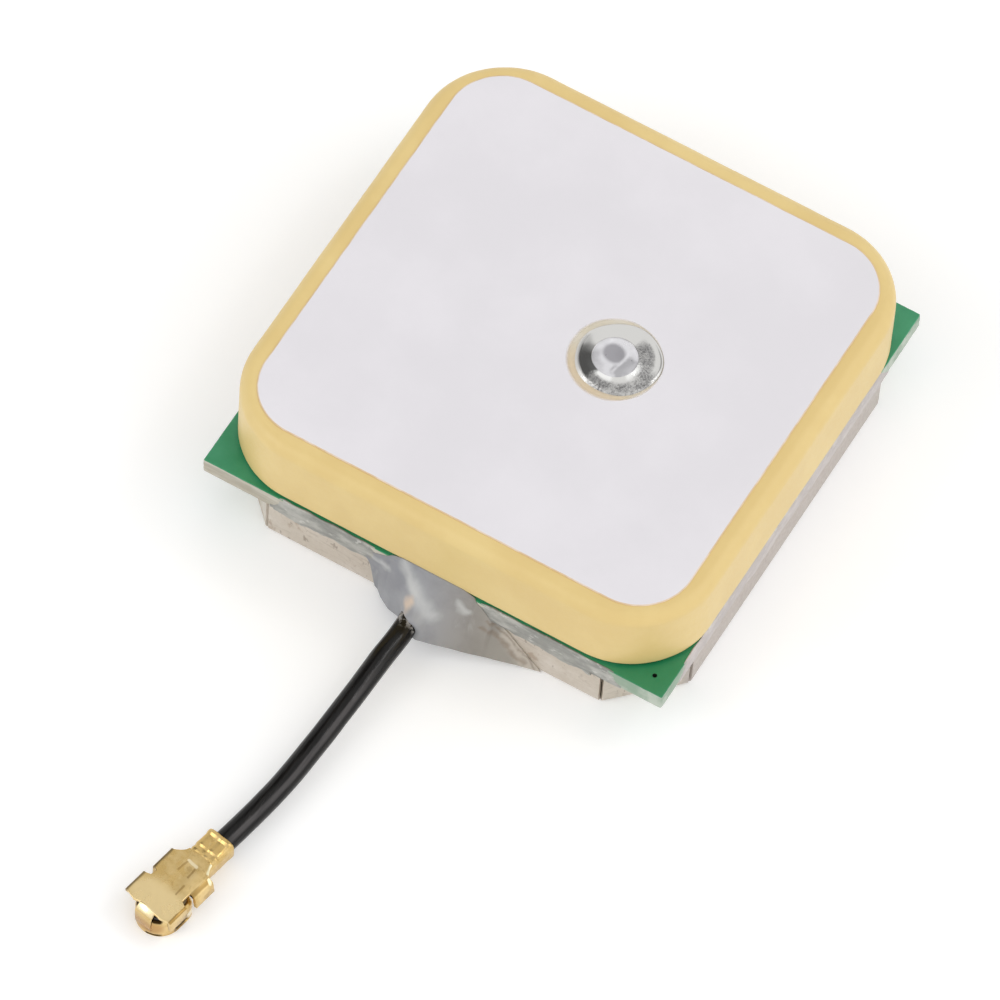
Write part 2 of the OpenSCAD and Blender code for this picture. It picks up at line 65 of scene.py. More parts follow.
def edgeAndOutward(half, radius, perCorner=28, perSide=40, step=1.0):
    outer = roundSquare(half, radius, perCorner, perSide)
    inner = roundSquare(half - step, radius - step, perCorner, perSide)
    return outer, [(a - b) / step for a, b in zip(outer, inner)]


def addPinHole(rings, outer, piece):
    centre = Vector(piece["pin"])
    hole = [centre + (p - centre).normalized() * piece["hole"] for p in outer]
    for z in (piece["high"], piece["low"]):
        rings.append([(p.x, p.y, z) for p in hole])


def bridgeRings(rings, closed=False):
    count = len(rings[0])
    verts = [tuple(p) for ring in rings for p in ring]
    faces, rows = [], []
    last = len(rings) if closed else len(rings) - 1
    for r in range(last):
        a, b = r * count, ((r + 1) % len(rings)) * count
        for i in range(count):
            j = (i + 1) % count
            faces.append((a + i, a + j, b + j, b + i))
            rows.append(r)
    return verts, faces, rows


def loft(rings):
    verts, faces, rows = bridgeRings(rings)
    count = len(rings[0])
    for start in (0, len(verts) - count):
        faces.append(tuple(range(start, start + count)))
    return verts, faces


def turned(profile, centre, steps=72):
    rings = []
    for radius, z in profile:
        ring = []
        for i in range(steps):
            a = fullTurn * i / steps
            ring.append((centre[0] + radius * math.cos(a), centre[1] + radius * math.sin(a), z))
        rings.append(ring)
    return rings


def joinShells(shells):
    verts, faces = [], []
    for shell in shells:
        offset = len(verts)
        verts += shell[0]
        faces += [tuple(i + offset for i in f) for f in shell[1]]
    return verts, faces


def plainMesh(name, verts, faces, materials, edges=()):
    mesh = bpy.data.meshes.new(name)
    mesh.from_pydata([Vector(v) * mm for v in verts], list(edges), faces)
    for material in materials:
        mesh.materials.append(material)
    return mesh


def meshPiece(name, verts, faces, materials, faceSlots=None, sharp=None):
    mesh = plainMesh(name, verts, faces, materials)
    if faceSlots:
        for polygon, slot in zip(mesh.polygons, faceSlots):
            polygon.material_index = slot
    return dressMesh(name, mesh, sharp)


def dressMesh(name, mesh, sharp=None):
    weld, sliver = 2e-7, 1e-8
    shape = bmesh.new()
    shape.from_mesh(mesh)
    bmesh.ops.remove_doubles(shape, verts=shape.verts, dist=weld)
    bmesh.ops.dissolve_degenerate(shape, edges=shape.edges, dist=sliver)
    bmesh.ops.recalc_face_normals(shape, faces=shape.faces)
    shape.to_mesh(mesh)
    shape.free()
    mesh.shade_smooth()
    if sharp:
        mesh.set_sharp_from_angle(angle=math.radians(sharp))
    return addObject(name, mesh)


def addObject(name, data):
    made = bpy.data.objects.new(name, data)
    bpy.context.scene.collection.objects.link(made)
    return made


def bakeModifiers(piece):
    view = bpy.context.evaluated_depsgraph_get()
    mesh = bpy.data.meshes.new_from_object(piece.evaluated_get(view))
    piece.modifiers.clear()
    piece.data = mesh
    return piece


def cutAway(piece, tool):
    cut = piece.modifiers.new("cut", "BOOLEAN")
    cut.operation, cut.object, cut.solver = "DIFFERENCE", tool, "EXACT"
    bakeModifiers(piece)
    bpy.data.objects.remove(tool)


def roundEdges(piece, width, segments=2, angle=38, sharp=45):
    bevel = piece.modifiers.new("edges", "BEVEL")
    bevel.width = width * mm
    bevel.segments = segments
    bevel.limit_method = "ANGLE"
    bevel.angle_limit = math.radians(angle)
    bevel.harden_normals = False
    bakeModifiers(piece)
    piece.data.shade_smooth()
    piece.data.set_sharp_from_angle(angle=math.radians(sharp))
    return piece


def settle(piece, slot, *nodes):
    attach(piece, "root")
    if nodes:
        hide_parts(*nodes)
    return piece


def wobble(p, scale, seed=0.0):
    return noise.noise(Vector((p[0] * scale + seed, p[1] * scale - seed, p[2] * scale + 2 * seed)))


def between(x, table):
    for (x0, y0), (x1, y1) in zip(table, table[1:]):
        if x <= x1:
            return y0 + (y1 - y0) * max(0.0, x - x0) / (x1 - x0)
    return table[-1][1]


def smoothStep(low, high, x):
    t = min(1.0, max(0.0, (x - low) / (high - low)))
    return t * t * (3 - 2 * t)


# node helpers

def tone(r, g, b):
    # screen colour, 0 to 255, to the linear one that shaders take
    def line(c):
        c /= 255
        return c / 12.92 if c <= 0.04045 else ((c + 0.055) / 1.055) ** 2.4
    return (line(r), line(g), line(b), 1.0)


def spotMm(x, y, z):
    return (x * mm, y * mm, z * mm)


class nodeNet:
    def __init__(self, tree):
        self.tree = tree

    def join(self, value, socket):
        if isinstance(value, bpy.types.NodeSocket):
            self.tree.links.new(value, socket)
        else:
            socket.default_value = value

    def add(self, kind, inputs=None, **settings):
        made = self.tree.nodes.new(kind)
        for key, value in settings.items():
            setattr(made, key, value)
        for key, value in (inputs or {}).items():
            self.join(value, made.inputs[key])
        return made.outputs

    def mix(self, factor, first, second):
        return self.add("ShaderNodeMix", {0: factor, 6: first, 7: second}, data_type="RGBA")[2]

    def ranged(self, value, fromMin, fromMax, toMin=0.0, toMax=1.0):
        inputs = {"Value": value, "From Min": fromMin, "From Max": fromMax, "To Min": toMin, "To Max": toMax}
        return self.add("ShaderNodeMapRange", inputs, interpolation_type="SMOOTHSTEP")[0]

    def maths(self, operation, a, b=0.0):
        return self.add("ShaderNodeMath", {0: a, 1: b}, operation=operation)[0]

    def times(self, a, b):
        return self.maths("MULTIPLY", a, b)

    def vectors(self, operation, a, b=None):
        inputs = {0: a} if b is None else {0: a, 1: b}
        return self.add("ShaderNodeVectorMath", inputs, operation=operation)[0]

    def dot(self, a, b):
        return self.add("ShaderNodeVectorMath", {0: a, 1: b}, operation="DOT_PRODUCT")[1]

    def length(self, a):
        return self.add("ShaderNodeVectorMath", {0: a}, operation="LENGTH")[1]

    def scaled(self, a, size):
        return self.add("ShaderNodeVectorMath", {0: a, "Scale": size}, operation="SCALE")[0]

    def centred(self, colour):
        return self.vectors("SUBTRACT", colour, (0.5, 0.5, 0.5))

    def noiseAt(self, vector, scale, detail, out=0, **inputs):
        inputs.update({"Vector": vector, "Scale": scale, "Detail": detail})
        return self.add("ShaderNodeTexNoise", inputs)[out]


socketKinds = {float: "NodeSocketFloat", int: "NodeSocketInt", type(None): "NodeSocketVector"}


def addInputs(tree, inputs):
    # the kind of socket follows from its value, and a vector has none
    keys = {}
    for label, value in inputs.items():
        socket = tree.interface.new_socket(label, in_out="INPUT", socket_type=socketKinds[type(value)])
        if value is not None:
            socket.default_value = value
        keys[label] = socket.identifier
    return keys


def shaderGroup(name, inputs, *outputs):
    tree = bpy.data.node_groups.new(name, "ShaderNodeTree")
    addInputs(tree, inputs)
    for label in outputs:
        tree.interface.new_socket(label, in_out="OUTPUT", socket_type="NodeSocketFloat")
    return nodeNet(tree), tree.nodes.new("NodeGroupInput").outputs, tree.nodes.new("NodeGroupOutput").inputs


# soft cloudy patches
patchInputs = {"Vector": None, "Scale": 400.0, "Threshold": 0.5, "Softness": 0.2}
softPatches, gi, go = shaderGroup("softPatches", patchInputs, "Mask", "Cloud")
cloud = softPatches.noiseAt(gi["Vector"], gi["Scale"], 5.0, Roughness=0.6)
upper = softPatches.maths("ADD", gi["Threshold"], gi["Softness"])
softPatches.join(softPatches.ranged(cloud, gi["Threshold"], upper), go["Mask"])
softPatches.join(cloud, go["Cloud"])

# small dark or bright dots
dotInputs = {"Vector": None, "Scale": 900.0, "Size": 0.15, "Rarity": 0.8}
scatterDots, gi, go = shaderGroup("scatterDots", dotInputs, "Mask")
cellInputs = {"Vector": gi["Vector"], "Scale": gi["Scale"], "Randomness": 1.0}
cells = scatterDots.add("ShaderNodeTexVoronoi", cellInputs)
near = scatterDots.maths("LESS_THAN", cells["Distance"], gi["Size"])
pick = scatterDots.add("ShaderNodeSeparateColor", {0: cells["Color"]})[0]
rare = scatterDots.maths("GREATER_THAN", pick, gi["Rarity"])
scatterDots.join(scatterDots.times(near, rare), go["Mask"])

# fine surface grain
fineGrain, gi, go = shaderGroup("fineGrain", {"Vector": None, "Scale": 6000.0}, "Height", "Tint")
grain = fineGrain.noiseAt(gi["Vector"], gi["Scale"], 3.0, Roughness=0.7)
fineGrain.join(grain, go["Height"])
fineGrain.join(fineGrain.ranged(grain, 0.3, 0.7), go["Tint"])

# thin rubbed lines along the first axis of the vector
rubLines, gi, go = shaderGroup("rubLines", {"Vector": None, "Scale": 300.0, "Width": 0.03}, "Mask")
waves = rubLines.noiseAt(gi["Vector"], gi["Scale"], 2.0, Distortion=0.6)
off = rubLines.maths("ABSOLUTE", rubLines.maths("SUBTRACT", waves, 0.5))
rubLines.join(rubLines.ranged(off, 0.0, gi["Width"], 1.0, 0.0), go["Mask"])

# a stroke between two spots, with a wandering edge
strokeInputs = {"Vector": None, "From": None, "To": None, "Width": 0.0003, "Wander": 0.0, "Grain": 900.0}
strokeMark, gi, go = shaderGroup("strokeMark", strokeInputs, "Mask")
stray = strokeMark.centred(strokeMark.noiseAt(gi["Vector"], gi["Grain"], 3.0, "Color"))
stray = strokeMark.scaled(stray, gi["Wander"])
reach = strokeMark.vectors("SUBTRACT", strokeMark.vectors("ADD", gi["Vector"], stray), gi["From"])
whole = strokeMark.vectors("SUBTRACT", gi["To"], gi["From"])
part = strokeMark.maths("DIVIDE", strokeMark.dot(reach, whole), strokeMark.dot(whole, whole))
part = strokeMark.add("ShaderNodeClamp", {0: part})[0]
far = strokeMark.length(strokeMark.vectors("SUBTRACT", reach, strokeMark.scaled(whole, part)))
strokeMark.join(strokeMark.ranged(far, 0.0, gi["Width"], 1.0, 0.0), go["Mask"])


# finishes: sizes of marks and bumps in millimetres, limits along an axis in metres

class paint(nodeNet):
    def __init__(self, name, fixed):
        self.material = bpy.data.materials.new(name)
        self.material.use_nodes = True
        super().__init__(self.material.node_tree)
        self.surface = self.tree.nodes["Principled BSDF"].inputs
        for label, value in fixed.items():
            self.surface[label].default_value = value
        self.coords = self.add("ShaderNodeTexCoord")["Object"]
        self.colour = None

    def group(self, net, vector, **inputs):
        inputs["Vector"] = self.coords if vector is None else vector
        return self.add("ShaderNodeGroup", inputs, node_tree=net.tree)

    def clouds(self, scale, threshold, softness, vector=None):
        return self.group(softPatches, vector, Scale=scale, Threshold=threshold, Softness=softness)

    def dots(self, scale, size, rarity):
        return self.group(scatterDots, None, Scale=scale, Size=size, Rarity=rarity)["Mask"]

    def grain(self, scale):
        return self.group(fineGrain, None, Scale=scale)

    def lines(self, scale, width, vector):
        return self.group(rubLines, vector, Scale=scale, Width=width)["Mask"]

    def stroke(self, vector, start, end, width, wander=0.0, grain=900.0):
        sizes = {"Width": width * mm, "Wander": wander * mm, "Grain": grain}
        return self.group(strokeMark, vector, From=spotMm(*start), To=spotMm(*end), **sizes)["Mask"]

    def stretched(self, scale, turn=(0, 0, 0)):
        return self.add("ShaderNodeMapping", {"Vector": self.coords, "Scale": scale, "Rotation": turn})[0]

    def axis(self, index):
        return self.add("ShaderNodeSeparateXYZ", {0: self.coords})[index]

    def flatFrom(self, spot):
        away = self.vectors("SUBTRACT", self.coords, spotMm(*spot, 0))
        return self.vectors("MULTIPLY", away, (1, 1, 0))

    def spread(self, cloud, low, high):
        return self.ranged(cloud, 0.3, 0.7, low, high)

    def twoTones(self, factor, first, second):
        return self.mix(factor, tone(*first), tone(*second))

    def base(self, factor, first, second):
        self.colour = self.twoTones(factor, first, second)

    def coat(self, factor, shade, strength=None):
        if strength is not None:
            factor = self.times(factor, strength)
        self.colour = self.mix(factor, self.colour, tone(*shade))

    def finish(self, rough=None, bump=None, alpha=None, metallic=None):
        sockets = {"Base Color": self.colour, "Roughness": rough, "Alpha": alpha, "Metallic": metallic}
        if bump:
            height, strength, distance = bump
            inputs = {"Height": height, "Strength": strength, "Distance": distance * mm}
            sockets["Normal"] = self.add("ShaderNodeBump", inputs)[0]
        for label, socket in sockets.items():
            if socket is not None:
                self.join(socket, self.surface[label])
        return self.material


p = paint("creamCeramic", {"IOR": 1.5})
grain = p.grain(5200.0)
p.base(p.clouds(190.0, 0.38, 0.3)["Mask"], (224, 196, 130), (230, 204, 139))
p.coat(p.dots(620.0, 0.07, 0.94), (128, 96, 48), 0.5)
creamCeramic = p.finish(p.ranged(grain["Tint"], 0.0, 1.0, 0.36, 0.46), (grain["Height"], 0.1, 0.02))

p = paint("firedSilver", {"Metallic": 0.1, "IOR": 1.4})
patches = p.clouds(130.0, 0.35, 0.35)
p.base(patches["Mask"], (227, 224, 228), (232, 229, 233))
firedSilver = p.finish(p.spread(patches["Cloud"], 0.55, 0.68), (p.grain(9000.0)["Height"], 0.1, 0.01))

p = paint("silverRim", {"IOR": 1.45})
patches = p.clouds(900.0, 0.4, 0.25)
p.base(patches["Mask"], (220, 192, 152), (230, 212, 194))
silverRim = p.finish(p.spread(patches["Cloud"], 0.5, 0.65))

p = paint("brightSolder", {"Metallic": 1.0})
crystals = p.clouds(11000.0, 0.46, 0.16)
drift = p.clouds(2200.0, 0.4, 0.25)["Cloud"]
flat = p.flatFrom(domeSpot)
out, aim = p.length(flat), p.vectors("NORMALIZE", flat)

def towards(x, y, *limits):
    return p.ranged(p.dot(aim, (x, y, 0)), *limits)

# crystals below and beside the pin, clear metal elsewhere
below = p.times(towards(0.55, -0.84, 0.35, 0.75), p.ranged(out, 0.0013, 0.0016))
beside = p.times(towards(0.93, 0.36, 0.55, 0.85), p.ranged(out, 0.0015, 0.0018, 1.0, 0.0))
zone = p.times(p.maths("MAXIMUM", below, beside), p.ranged(drift, 0.3, 0.62, 0.35, 1.0))
# painted highlight: a bright band on the solder along the pin's head, broken in its middle
fromPin = p.length(p.flatFrom(pinSpot))
paintedGlint = p.times(p.ranged(fromPin, 0.0012, 0.00148, 1.0, 0.0), towards(0.4, -0.92, 0.0, 0.6))
paintedGlint = p.times(paintedGlint, towards(0.5, -0.866, 0.93, 0.985, 1.0, 0.1))
p.base(zone, (218, 217, 214), (158, 157, 156))
p.coat(p.times(zone, crystals["Mask"]), (98, 97, 98), 0.75)
p.coat(paintedGlint, (252, 252, 250), 0.9)
dull = p.times(towards(-0.92, -0.39, 0.72, 0.9), p.ranged(out, 0.00182, 0.00194))
rough = p.maths("ADD", p.times(zone, 0.2), 0.09)
rough = p.maths("ADD", rough, p.times(dull, 0.35))
brightSolder = p.finish(rough, (p.times(crystals["Cloud"], zone), 0.6, 0.05))

p = paint("pinMetal", {"Metallic": 0.45})
flat = p.vectors("MULTIPLY", p.coords, (1, 1, 0))
patches = p.clouds(1500.0, 0.4, 0.3)
hollow = p.stroke(flat, (2.27, 0.14, 0), (2.37, 0.11, 0), 0.76, 0.1)
# painted shade: a darker grey patch on the lower right of the pin's head, the lee side
lee = p.stroke(flat, (3.3, -0.05, 0), (3.0, -0.7, 0), 0.62, 0.5, 1700.0)
nick = p.stroke(flat, (2.93, 0.35, 0), (2.73, -0.83, 0), 0.14, 0.2, 1800.0)
p.base(patches["Mask"], (224, 223, 226), (238, 237, 240))
p.coat(p.ranged(hollow, 0.05, 0.5), (148, 146, 151), 0.85)
p.coat(p.ranged(lee, 0.0, 0.7), (152, 151, 154), 0.75)
p.coat(nick, (232, 231, 234), 0.6)
pinMetal = p.finish(p.spread(patches["Cloud"], 0.26, 0.42), (nick, 0.3, 0.04))

p = paint("fluxFilm", {"IOR": 1.5, "Roughness": 0.3})
patches = p.clouds(1300.0, 0.36, 0.3)
flat = p.flatFrom(pinSpot)
p.base(patches["Mask"], (232, 222, 200), (240, 232, 214))
warm = p.ranged(p.dot(p.vectors("NORMALIZE", flat), (-0.2, -0.98, 0)), 0.1, 0.9)
p.coat(warm, (236, 214, 178), 0.7)
thin = p.ranged(p.length(flat), 0.0021, 0.00236, 0.72, 0.0)
fluxFilm = p.finish(alpha=p.times(thin, p.ranged(patches["Cloud"], 0.25, 0.7, 1.0, 0.75)))

p = paint("greenMask", {"IOR": 1.5, "Coat Weight": 0.25, "Coat Roughness": 0.12})
grain = p.grain(3800.0)
p.base(p.clouds(330.0, 0.36, 0.32)["Mask"], (34, 136, 90), (58, 150, 108))
# painted shade: a darker green over the board's near corner
p.coat(p.stroke(p.coords, (11.6, -11.8, 4), (12.2, -12.3, 4), 5.5), (8, 108, 64), 0.55)
greenMask = p.finish(p.ranged(grain["Tint"], 0.0, 1.0, 0.3, 0.42), (grain["Height"], 0.08, 0.02))

p = paint("glassFibre", {"IOR": 1.5})
layers = p.noiseAt(p.stretched((420, 420, 4200)), 1.0, 3.0)
patches = p.clouds(700.0, 0.42, 0.25)["Mask"]
p.base(p.ranged(layers, 0.36, 0.64), (174, 168, 152), (200, 195, 182))
p.coat(patches, (166, 156, 134), 0.45)
pale = p.twoTones(patches, (146, 168, 148), (190, 199, 186))
p.colour = p.mix(p.ranged(p.axis(0), 0.004, 0.0112), p.colour, pale)
glassFibre = p.finish(p.spread(layers, 0.5, 0.75), (layers, 0.3, 0.04))

p = paint("viaWall", {"Metallic": 0.3})
grain = p.grain(9000.0)
p.base(grain["Tint"], (22, 40, 30), (48, 62, 48))
viaWall = p.finish(p.spread(grain["Height"], 0.4, 0.7))

p = paint("tinPlate", {})
big = p.clouds(300.0, 0.44, 0.25)
small = p.clouds(1100.0, 0.575, 0.1, p.stretched((1, 1, 0.7)))["Mask"]
specks = p.clouds(2600.0, 0.62, 0.05, p.stretched((1.4, 1.4, 0.5)))["Mask"]
stain = p.stroke(p.coords, (11.3, -10.1, 1.0), (11.6, -9.8, 2.3), 0.7, 0.8, 1600.0)
p.base(big["Mask"], (205, 195, 182), (222, 214, 204))
p.coat(small, (158, 132, 106), 0.55)
p.coat(specks, (120, 102, 86), 0.5)
p.coat(p.lines(500.0, 0.012, p.stretched((0.4, 0.4, 2.4), (0.2, 0.1, 0))), (160, 148, 134), 0.3)
# the right wall is greyer
p.coat(p.ranged(p.axis(0), 0.0118, 0.0121, 0.0, 0.7), (186, 178, 174))
p.coat(stain, (112, 92, 76), 0.8)
metallic = p.maths("SUBTRACT", 0.7, p.times(small, 0.4))
rough = p.ranged(p.grain(4500.0)["Tint"], 0.0, 1.0, 0.34, 0.52)
tinPlate = p.finish(rough, (big["Cloud"], 0.3, 0.12), metallic=metallic)

p = paint("smearedSolder", {"Metallic": 0.4})
patches = p.clouds(1100.0, 0.4, 0.25, p.stretched((0.6, 0.6, 1.4)))
flecks = p.clouds(2400.0, 0.57, 0.1, p.stretched((0.8, 0.8, 1.6)))["Mask"]
p.base(patches["Mask"], (144, 144, 139), (184, 183, 177))
pale = p.twoTones(patches["Mask"], (186, 178, 176), (206, 199, 197))
p.colour = p.mix(p.ranged(p.axis(0), 0.0118, 0.0123), p.colour, pale)
p.coat(flecks, (218, 216, 211), 0.55)
smearedSolder = p.finish(p.spread(patches["Cloud"], 0.35, 0.55), (patches["Cloud"], 0.5, 0.1))

# white and brown strokes in the glue, seen from the front: from, to, width; the first two white ones, over
# the lead, are a painted highlight streak
glueWhitesAndHighlight = [((-1.45, 0, 4.0), (-0.6, 0, 3.3), 0.5), ((-0.7, 0, 3.3), (0.7, 0, 2.6), 0.6),
              ((-3.6, 0, 3.4), (-2.3, 0, 3.1), 0.34), ((1.75, 0, 3.45), (2.1, 0, 3.2), 0.34)]
glueBrowns = [((3.1, 0, 2.9), (5.7, 0, 0.2), 0.12), ((3.0, 0, 2.5), (5.1, 0, 0.4), 0.2)]

p = paint("cloudyGlue", {"IOR": 1.45})
front, across = p.vectors("MULTIPLY", p.coords, (1, 0, 1)), p.axis(0)
patches = p.clouds(260.0, 0.36, 0.3)
wisps = p.clouds(520.0, 0.6, 0.12, p.stretched((1.9, 0.7, 0.55), (0.5, 0.35, 0.3)))
cool = p.twoTones(patches["Mask"], (144, 145, 150), (160, 161, 165))
warm = p.twoTones(patches["Mask"], (136, 131, 125), (152, 147, 140))
p.colour = p.mix(p.ranged(across, -0.0005, 0.003), cool, warm)
p.coat(wisps["Mask"], (200, 200, 199), 0.3)
p.coat(p.ranged(across, 0.002, 0.0042), (164, 158, 148))
# the thin right tip shows the can's tin
tip = p.stroke(front, (4.6, 0, 2.0), (5.9, 0, 0.4), 1.2, 0.4, 1200.0)
p.coat(p.ranged(tip, 0.05, 0.5), (200, 191, 178))
# white strokes in the glue, the two over the lead a painted highlight streak
for start, end, wide in glueWhitesAndHighlight:
    p.coat(p.stroke(front, start, end, wide, 0.6, 1400.0), (212, 213, 211), 0.55)
p.coat(p.stroke(front, (-0.72, 0, 2.45), (-0.5, 0, 2.72), 0.34, 0.3, 2200.0), (218, 198, 178), 0.9)
for start, end, wide in glueBrowns:
    p.coat(p.stroke(front, start, end, wide, 0.5, 1500.0), (132, 112, 94), 0.55)
thick = p.ranged(patches["Cloud"], 0.25, 0.75, 0.9, 0.97)
alpha = p.maths("SUBTRACT", thick, p.ranged(across, 0.002, 0.0042, 0.0, 0.06))
cloudyGlue = p.finish(p.spread(wisps["Cloud"], 0.3, 0.5), (wisps["Cloud"], 0.15, 0.15), alpha)

p = paint("blackJacket", {"IOR": 1.48, "Specular IOR Level": 0.24})
lines = p.clouds(1300.0, 0.45, 0.2, p.stretched((2.6, 0.12, 2.6)))
along = p.axis(1)
gluey = p.times(p.ranged(along, -0.0148, -0.0143), p.clouds(2600.0, 0.5, 0.1)["Mask"])
p.base(lines["Mask"], (15, 14, 13), (27, 25, 23))
p.coat(gluey, (168, 165, 162), 0.8)
# painted sheen: a soft grey stripe along the flank that the sweep has marked
flank = p.add("ShaderNodeAttribute", attribute_name="flank")["Fac"]
paintedSheen = p.times(p.ranged(flank, -0.02, 0.16), p.ranged(flank, 0.34, 0.62, 1.0, 0.0))
paintedSheen = p.times(paintedSheen, p.ranged(along, -0.0195, -0.0165, 1.0, 0.15))
paintedSheen = p.times(paintedSheen, p.ranged(lines["Cloud"], 0.3, 0.6, 0.6, 1.0))
p.coat(paintedSheen, (74, 71, 71), 0.9)
rough = p.ranged(p.grain(5000.0)["Tint"], 0.0, 1.0, 0.1, 0.17)
blackJacket = p.finish(rough, (lines["Cloud"], 0.35, 0.1))

# marks on the plug, in its own axes: from, to, width, strength, colour; mostly painted highlights, glints,
# dark reflections and shade
# painted sheen over the plate's front
giltMarksAndPaintedLight = [((0.3, -0.6, 1.85), (0.3, 0.6, 1.85), 1.4, 0.75, (248, 224, 170)),
             # a darker band on the ring's front
             ((1.1, -0.6, 0.7), (1.1, 0.6, 0.7), 0.75, 0.75, (190, 148, 94)),
             # painted dark reflection along the rolled edges of the left tabs
             ((-2.25, -1.33, 1.8), (-0.95, -1.33, 1.8), 0.25, 0.95, (128, 110, 76)),
             ((-0.47, -1.48, 1.8), (0.78, -1.48, 1.8), 0.25, 0.95, (128, 110, 76)),
             # painted highlight on the strap's chamfer
             ((0.99, -0.36, 1.73), (0.99, 0.3, 1.73), 0.3, 0.65, (255, 238, 196)),
             # painted dark reflection on the top bands of the right flaps
             ((-2.1, 1.1, 1.78), (-0.98, 1.1, 1.78), 0.2, 0.85, (152, 122, 68)),
             ((0.8, 1.3, 1.84), (-0.3, 1.3, 1.84), 0.16, 0.85, (160, 124, 60)),
             # painted highlight on the ring's side behind the right flaps
             ((-0.75, 1.16, 0.45), (-1.08, 1.16, 0.5), 0.4, 0.85, (250, 242, 220)),
             # painted glints on the neck's right shoulder and on the rear right flap's end
             ((-2.84, 0.66, 1.8), (-2.3, 0.86, 1.84), 0.13, 0.95, (255, 246, 206)),
             ((-2.12, 1.08, 1.8), (-2.05, 1.3, 1.7), 0.14, 0.9, (255, 240, 198)),
             # painted shade in the cut-outs at the ring's foot
             ((1.13, 0.16, 0.13), (0.86, 0.76, 0.13), 0.12, 1.0, (48, 34, 10)),
             ((0.08, 1.12, 0.22), (-0.48, 1.12, 0.22), 0.3, 1.0, (54, 32, 18)),
             # painted highlight on the pressed panel's rear edge, then painted shade lines along its sides
             ((-2.26, -0.27, 1.85), (-2.22, 0.24, 1.85), 0.12, 0.9, (255, 238, 198)),
             ((-2.08, 0.25, 1.85), (-1.59, 0.28, 1.85), 0.09, 0.6, (150, 116, 62)),
             ((-1.1, 0.46, 1.85), (-0.53, 0.48, 1.85), 0.09, 0.6, (150, 116, 62)),
             ((-2.16, -0.28, 1.85), (-1.6, -0.31, 1.85), 0.08, 0.55, (156, 122, 68)),
             # painted shade in the slots at the ring's rim
             ((0.98, 0.48, 1.29), (0.86, 0.72, 1.29), 0.26, 1.0, (52, 36, 16)),
             ((0.73, -0.85, 1.29), (0.84, -0.72, 1.29), 0.18, 1.0, (60, 42, 18))]

p = paint("giltShell", {"Metallic": 1.0})
patches = p.clouds(900.0, 0.42, 0.25)
wear = p.clouds(2600.0, 0.58, 0.1)
p.base(patches["Mask"], (206, 175, 112), (228, 200, 142))
p.coat(wear["Mask"], (166, 134, 76), 0.4)
p.coat(p.lines(900.0, 0.015, p.stretched((2.4, 0.5, 1), (0, 0, 0.2))), (236, 216, 170), 0.2)
away = p.vectors("SUBTRACT", p.coords, spotMm(*plugAxis, 0))
hx, hy = plugHeading
ownAxes = {0: p.dot(away, (hx, hy, 0)), 1: p.dot(away, (-hy, hx, 0)), 2: p.axis(2)}
own = p.add("ShaderNodeCombineXYZ", ownAxes)[0]
for start, end, wide, strength, shade in giltMarksAndPaintedLight:
    p.coat(p.ranged(p.stroke(own, start, end, wide, 0.12, 1500.0), 0.0, 0.7), shade, strength)
giltShell = p.finish(p.spread(patches["Cloud"], 0.2, 0.36), (wear["Cloud"], 0.12, 0.05))


def makePlain(name, dark, light, scale, low, high, metallic=0.0):
    p = paint(name, {"Metallic": metallic})
    grain = p.grain(scale * 6)
    p.base(p.clouds(scale, 0.4, 0.25)["Mask"], dark, light)
    return p.finish(p.ranged(grain["Tint"], 0.0, 1.0, low, high), (grain["Height"], 0.1, 0.03))


copperStrands = makePlain("copperStrands", (190, 160, 134), (216, 198, 180), 1500.0, 0.3, 0.45, 0.9)
domeRim = makePlain("domeRim", (134, 127, 114), (162, 155, 142), 2500.0, 0.3, 0.5, 0.4)
milkyCore = makePlain("milkyCore", (220, 217, 206), (236, 234, 226), 800.0, 0.35, 0.5)
tapePad = makePlain("tapePad", (70, 66, 52), (98, 92, 74), 700.0, 0.6, 0.8)
mouldedBlack = makePlain("mouldedBlack", (30, 26, 23), (48, 42, 36), 1200.0, 0.45, 0.65)
chipBrown = makePlain("chipBrown", (150, 112, 80), (184, 146, 108), 2500.0, 0.45, 0.6)
chipBlack = makePlain("chipBlack", (26, 26, 29), (44, 44, 48), 2500.0, 0.4, 0.6)
chipBlue = makePlain("chipBlue", (74, 92, 112), (100, 118, 138), 2500.0, 0.4, 0.6)
print("finishes made:", len(bpy.data.materials))


# ceramic block

ceramic = {"half": 12.5, "corner": 4.4, "fillet": 0.65, "low": 4.10, "high": 8.10, "foot": 0.14,
           "wave": 0.012, "waved": 0.6, "flats": (0.85, 1.3, 2.6), "footSteps": 4, "steps": 12,
           "pin": pinSpot, "hole": 0.6}


def makeCeramic(c):
    outer, outward = edgeAndOutward(c["half"], c["corner"])
    foot, fillet, steps = c["foot"], c["fillet"], c["steps"]
    base, top = c["low"] + foot, c["high"] - fillet
    profile = [(c["flats"][-1], c["low"])]
    for i in range(c["footSteps"] + 1):
        a = quarterTurn * i / c["footSteps"]
        profile.append((foot * (1 - math.sin(a)), c["low"] + foot * (1 - math.cos(a))))
    for i in range(1, steps):
        profile.append((0.0, base + (top - base) * i / steps))
    for i in range(steps + 1):
        a = quarterTurn * i / steps
        profile.append((fillet * (1 - math.cos(a)), top + fillet * math.sin(a)))
    profile += [(inset, c["high"]) for inset in c["flats"]]
    rings = []
    for inset, z in profile:
        ring = []
        for p, n in zip(outer, outward):
            q, spot, push = p - n * inset, (p.x, p.y, z), 0.0
            if inset < c["waved"]:
                push = c["wave"] * (wobble(spot, 0.5) + 0.5 * wobble(spot, 1.7, 3.0))
            ring.append((q.x + n.x * push, q.y + n.y * push, z))
        rings.append(ring)
    addPinHole(rings, outer, c)
    return meshPiece("ceramicBlock", *bridgeRings(rings, closed=True)[:2], [creamCeramic], sharp=40)


